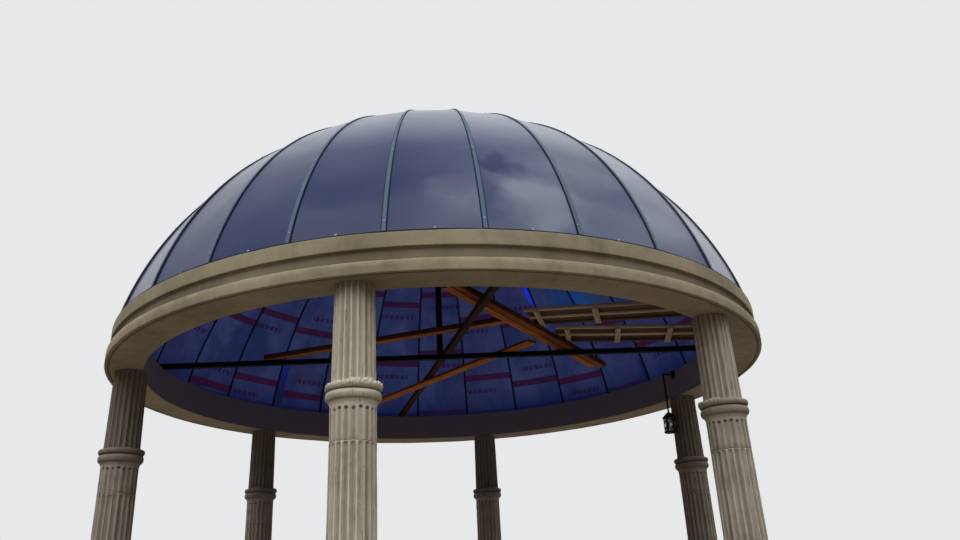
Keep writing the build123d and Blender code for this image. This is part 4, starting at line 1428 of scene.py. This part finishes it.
timber_pieces(["rear_batten_sawn"], "rear_batten", [orange_wood], 1.0)
timber_pieces(["long_prop_sawn"], "long_prop", [dark_wood], 5.0)
timber_pieces(
    ["left_plank_sawn", "right_plank_sawn"], "plank_pair", [orange_wood, red_wood], 8.0)
timber_pieces(["long_batten_sawn"], "long_batten", [brown_wood], 12.0)

# %% [markdown]
# ## Board frames
#
# Two forms lie from the planks to the beam: dark boards on three rails, tied by pale battens. The
# near rail stands on edge beside the boards, the pale middle one lies under them, and the far one is
# as dark as they are. From below the pale rails and the battens show against the boards. On the
# front form the battens were nailed askew. Each part is its own sawn bar on the node's axes.

# %% Board frames
rail_width, rail_height = 0.045, 0.014
batten_width, batten_proud = 0.045, 0.012
board_count, board_gap = 4, 0.002
edge_width = 0.022


def board_frame(name, node_name, batten_places, skew, seed):
    """Rails, boards and cross battens between the limits of a node."""
    x_axis, _, z_axis = solid_axes(node_name)
    x_axis = x_axis if x_axis.x > 0 else -x_axis
    z_axis = z_axis if z_axis.z > 0 else -z_axis
    y_axis = z_axis.cross(x_axis)
    axes = (x_axis, y_axis, z_axis)
    (x0, x1), (y0, y1), (z0, z1) = spans(points_of(node_name), axes)
    rail_low, board_low = z0 + batten_proud, z0 + batten_proud + rail_height
    pale, dark = [], []
    middle = (y0 + y1) / 2
    pale.append(sawn(axes, ((x0, x1), (y0, y0 + edge_width), (rail_low, z1)), seed))
    middle_span = (middle - rail_width / 2, middle + rail_width / 2)
    pale.append(sawn(axes, ((x0, x1), middle_span, (rail_low, board_low)), seed + 1))
    dark.append(sawn(axes, ((x0, x1), (y1 - rail_width, y1), (rail_low, board_low)), seed + 2))
    c, s = math.cos(math.radians(skew)), math.sin(math.radians(skew))
    batten_axes = (y_axis * c - x_axis * s, x_axis * c + y_axis * s, z_axis)
    half = (y1 - y0) / 2 - batten_width / 2 * s
    for k, place in enumerate(batten_places):
        centre = x_axis * (x0 + place) + y_axis * middle
        long, wide = centre.dot(batten_axes[0]), centre.dot(batten_axes[1])
        wide_span = (wide - batten_width / 2, wide + batten_width / 2)
        pale.append(sawn(batten_axes, ((long - half, long + half), wide_span, (z0, rail_low)), seed + 5 + k, steps=8))
    board_width = (y1 - y0 - edge_width) / board_count
    for k in range(board_count):
        low = y0 + edge_width + k * board_width + board_gap / 2
        board_span = (low, low + board_width - board_gap)
        dark.append(sawn(axes, ((x0, x1), board_span, (board_low, z1)), seed + 9 + k))
    for label, parts, material in (("rails", pale, pale_wood), ("boards", dark, board_wood)):
        points, skin, faces = joined(parts)
        piece = make_piece(f"{name}_{label}", points, faces, [node_name], skin, sharp=50)
        piece.data.materials.append(material)


board_frame("front_form", "board_frame_front", (0.08, 0.525), 6.5, 20.0)
board_frame("rear_form", "board_frame_rear", (0.09, 0.49, 0.895), 0.0, 40.0)
print("forms laid")

# %% [markdown]
# ## Lantern
#
# A small hexagonal lantern hangs from an arm inside the beam. The cage keeps the construction's mesh
# with black paint. The glass is hammered, so it flickers between the pale sky and the dark beam, and
# black scrolls stand before it: bent wires, each a swept circle on a small curve.

# %% Lantern glass
finish_node("lantern", black_paint)
glass = bpy.data.materials.new("hammered_glass")
glass.use_nodes = True
glass_tree = glass.node_tree
glass_shader = glass_tree.nodes["Principled BSDF"]
glass_shader.inputs["Transmission Weight"].default_value = 1.0
glass_shader.inputs["IOR"].default_value = 1.5
glass_place = glass_tree.nodes.new("ShaderNodeTexCoord").outputs["Object"]
glass_dust = noise_at(glass_tree, glass_place, 42.0, 2.0)
dusty = sharpen(glass_tree, glass_dust, 0.42, 0.6)
glass_tone = blend_colours(glass_tree, dusty, (0.95, 0.94, 0.93), (0.10, 0.09, 0.09))
glass_tree.links.new(glass_tone, glass_shader.inputs["Base Color"])
glass_tree.links.new(sharpen(glass_tree, glass_dust, -0.4, 2.0), glass_shader.inputs["Roughness"])
glass_cells = node(glass_tree, "ShaderNodeTexVoronoi", {"Vector": glass_place, "Scale": 70.0}).outputs["Distance"]
bump(glass_tree, glass_shader, glass_cells, 1.0, 0.012)
finish_node("lantern_glass", glass)

# %% Lantern scrolls
cage_low, cage_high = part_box("lantern_glass")
lantern_x, lantern_y = (cage_low.x + cage_high.x) / 2, (cage_low.y + cage_high.y) / 2
cage_radius = (cage_high.x - cage_low.x) / 2 + 0.004
wire_radius = 0.0022


def wire(path, radius, sides=6):
    """A round wire along a list of points. Returns points, skin and faces."""
    points = []
    for k, here in enumerate(path):
        along = (path[min(k + 1, len(path) - 1)] - path[max(k - 1, 0)]).normalized()
        aside = along.cross(Vector((0.31, 0.17, 0.93))).normalized()
        across = along.cross(aside)
        points += [here + (aside * math.cos(t) + across * math.sin(t)) * radius
                   for t in np.linspace(0, 2 * math.pi, sides, endpoint=False)]
    faces = grid_faces(len(path), sides, wrap=True)
    faces += [list(range(sides))[::-1], list(range((len(path) - 1) * sides, len(path) * sides))]
    return np.array([tuple(p) for p in points]), np.zeros((len(points), 3)), faces


def cage_place(turn, height):
    """A point just outside the glass."""
    return Vector((lantern_x + cage_radius * math.cos(turn), lantern_y + cage_radius * math.sin(turn), height))


wires = []
middle_height = (cage_low.z + cage_high.z) / 2
for level in (0.3, 0.7):
    height = cage_low.z + level * (cage_high.z - cage_low.z)
    wires.append(wire([cage_place(t, height) for t in np.linspace(0, 2 * math.pi, 25)], wire_radius))
for side in range(6):
    for sense in (-1, 1):
        path = []
        for t in np.linspace(0, 1, 18):
            size = 0.8 * (1 - 0.62 * t)
            turn = side * math.pi / 3 + math.pi / 6 + size * 0.42 * math.sin(t * 7.5)
            path.append(cage_place(turn, middle_height + sense * (0.034 - 0.026 * size * math.cos(t * 7.5))))
        wires.append(wire(path, wire_radius * 0.8))
points, skin, faces = joined(wires)
scrolls = make_piece("lantern_scrolls", points, faces, (), skin, sharp=60)
scrolls.data.materials.append(black_paint)
print("lantern wires:", len(wires))

# %% [markdown]
# ## Floor, light and camera
#
# The gazebo stands on a plain pale floor under an overcast sky: bright overhead, dimmer at the
# horizon and with little coming back from the ground, which is what leaves the soffit in shade. The
# camera, mirrors and glass see the floor and the sky pale, while the light that they shed on the
# object stays at a plain level. Both use the Light Path node for that.

# %% Floor
def seen_directly(tree):
    """1 where the camera, a reflection or a pane of glass looks, and 0 for scattered light."""
    path = tree.nodes.new("ShaderNodeLightPath").outputs
    some = math_node(tree, "MAXIMUM", path["Is Camera Ray"], path["Is Glossy Ray"])
    return math_node(tree, "MAXIMUM", some, path["Is Transmission Ray"])


floor_size = 60.0
floor_mesh = bpy.data.meshes.new("floor")
floor_corners = [
    (-floor_size, -floor_size, 0), (floor_size, -floor_size, 0),
    (floor_size, floor_size, 0), (-floor_size, floor_size, 0),
]
floor_mesh.from_pydata(floor_corners, [], [(0, 1, 2, 3)])
floor = bpy.data.objects.new("floor", floor_mesh)
bpy.context.scene.collection.objects.link(floor)
floor_material = bpy.data.materials.new("pale_floor")
floor_material.use_nodes = True
floor_tree = floor_material.node_tree
floor_shader = floor_tree.nodes["Principled BSDF"]
floor_shader.inputs["Roughness"].default_value = 0.95
floor_shader.inputs["Specular IOR Level"].default_value = 0.0
floor_scattered, floor_seen = (0.185, 0.148, 0.118), (0.53, 0.53, 0.525)
floor_tone = blend_colours(floor_tree, seen_directly(floor_tree), floor_scattered, floor_seen)
floor_tree.links.new(floor_tone, floor_shader.inputs["Base Color"])
floor_mesh.materials.append(floor_material)

# %% Sky and sun
world = bpy.data.worlds.new("overcast")
bpy.context.scene.world = world
world.use_nodes = True
sky_tree = world.node_tree
sky_shader = sky_tree.nodes["Background"]
sky_place = sky_tree.nodes.new("ShaderNodeTexCoord").outputs["Generated"]
sky_height = split(sky_tree, sky_place)["Z"]
horizon_light, overhead_light, sky_seen = (0.07, 0.07, 0.075), (1.7, 1.7, 1.7), (0.80, 0.81, 0.82)
overhead = sharpen(sky_tree, sky_height, 0.03, 0.85)
sky_light = blend_colours(sky_tree, overhead, horizon_light, overhead_light)
sky_tone = blend_colours(sky_tree, seen_directly(sky_tree), sky_light, sky_seen)
sky_tree.links.new(sky_tone, sky_shader.inputs["Color"])

sun_light = bpy.data.lights.new("soft_sun", "SUN")
sun_light.energy = 0.7
sun_light.angle = math.radians(50)
sun = bpy.data.objects.new("soft_sun", sun_light)
sun.rotation_euler = Vector((0.12, 0.75, -0.8)).to_track_quat("-Z", "Y").to_euler()
bpy.context.scene.collection.objects.link(sun)

# %% [markdown]
# ## Camera
#
# The picture was taken at eye height, looking up. The place and the directions were fitted to the
# ring, the columns and the dome's seams, and the lens follows from the same fit.

# %% Camera
camera_data = bpy.data.cameras.new("camera")
camera_data.lens = 29.71
camera_data.sensor_width = 36.0
camera_data.clip_end = 200.0
camera = bpy.data.objects.new("camera", camera_data)
camera_place = (1.2355, -6.2111, 1.5124)
right = Vector((0.98639, 0.15735, -0.04766))
up = Vector((0.10344, -0.36867, 0.92379))
forward = Vector((-0.12779, 0.91615, 0.37993))
turn = Matrix((right, up, -forward)).transposed()
camera.matrix_world = Matrix.Translation(camera_place) @ turn.to_4x4()
bpy.context.scene.collection.objects.link(camera)
bpy.context.scene.camera = camera
bpy.context.scene.view_settings.view_transform = "Standard"
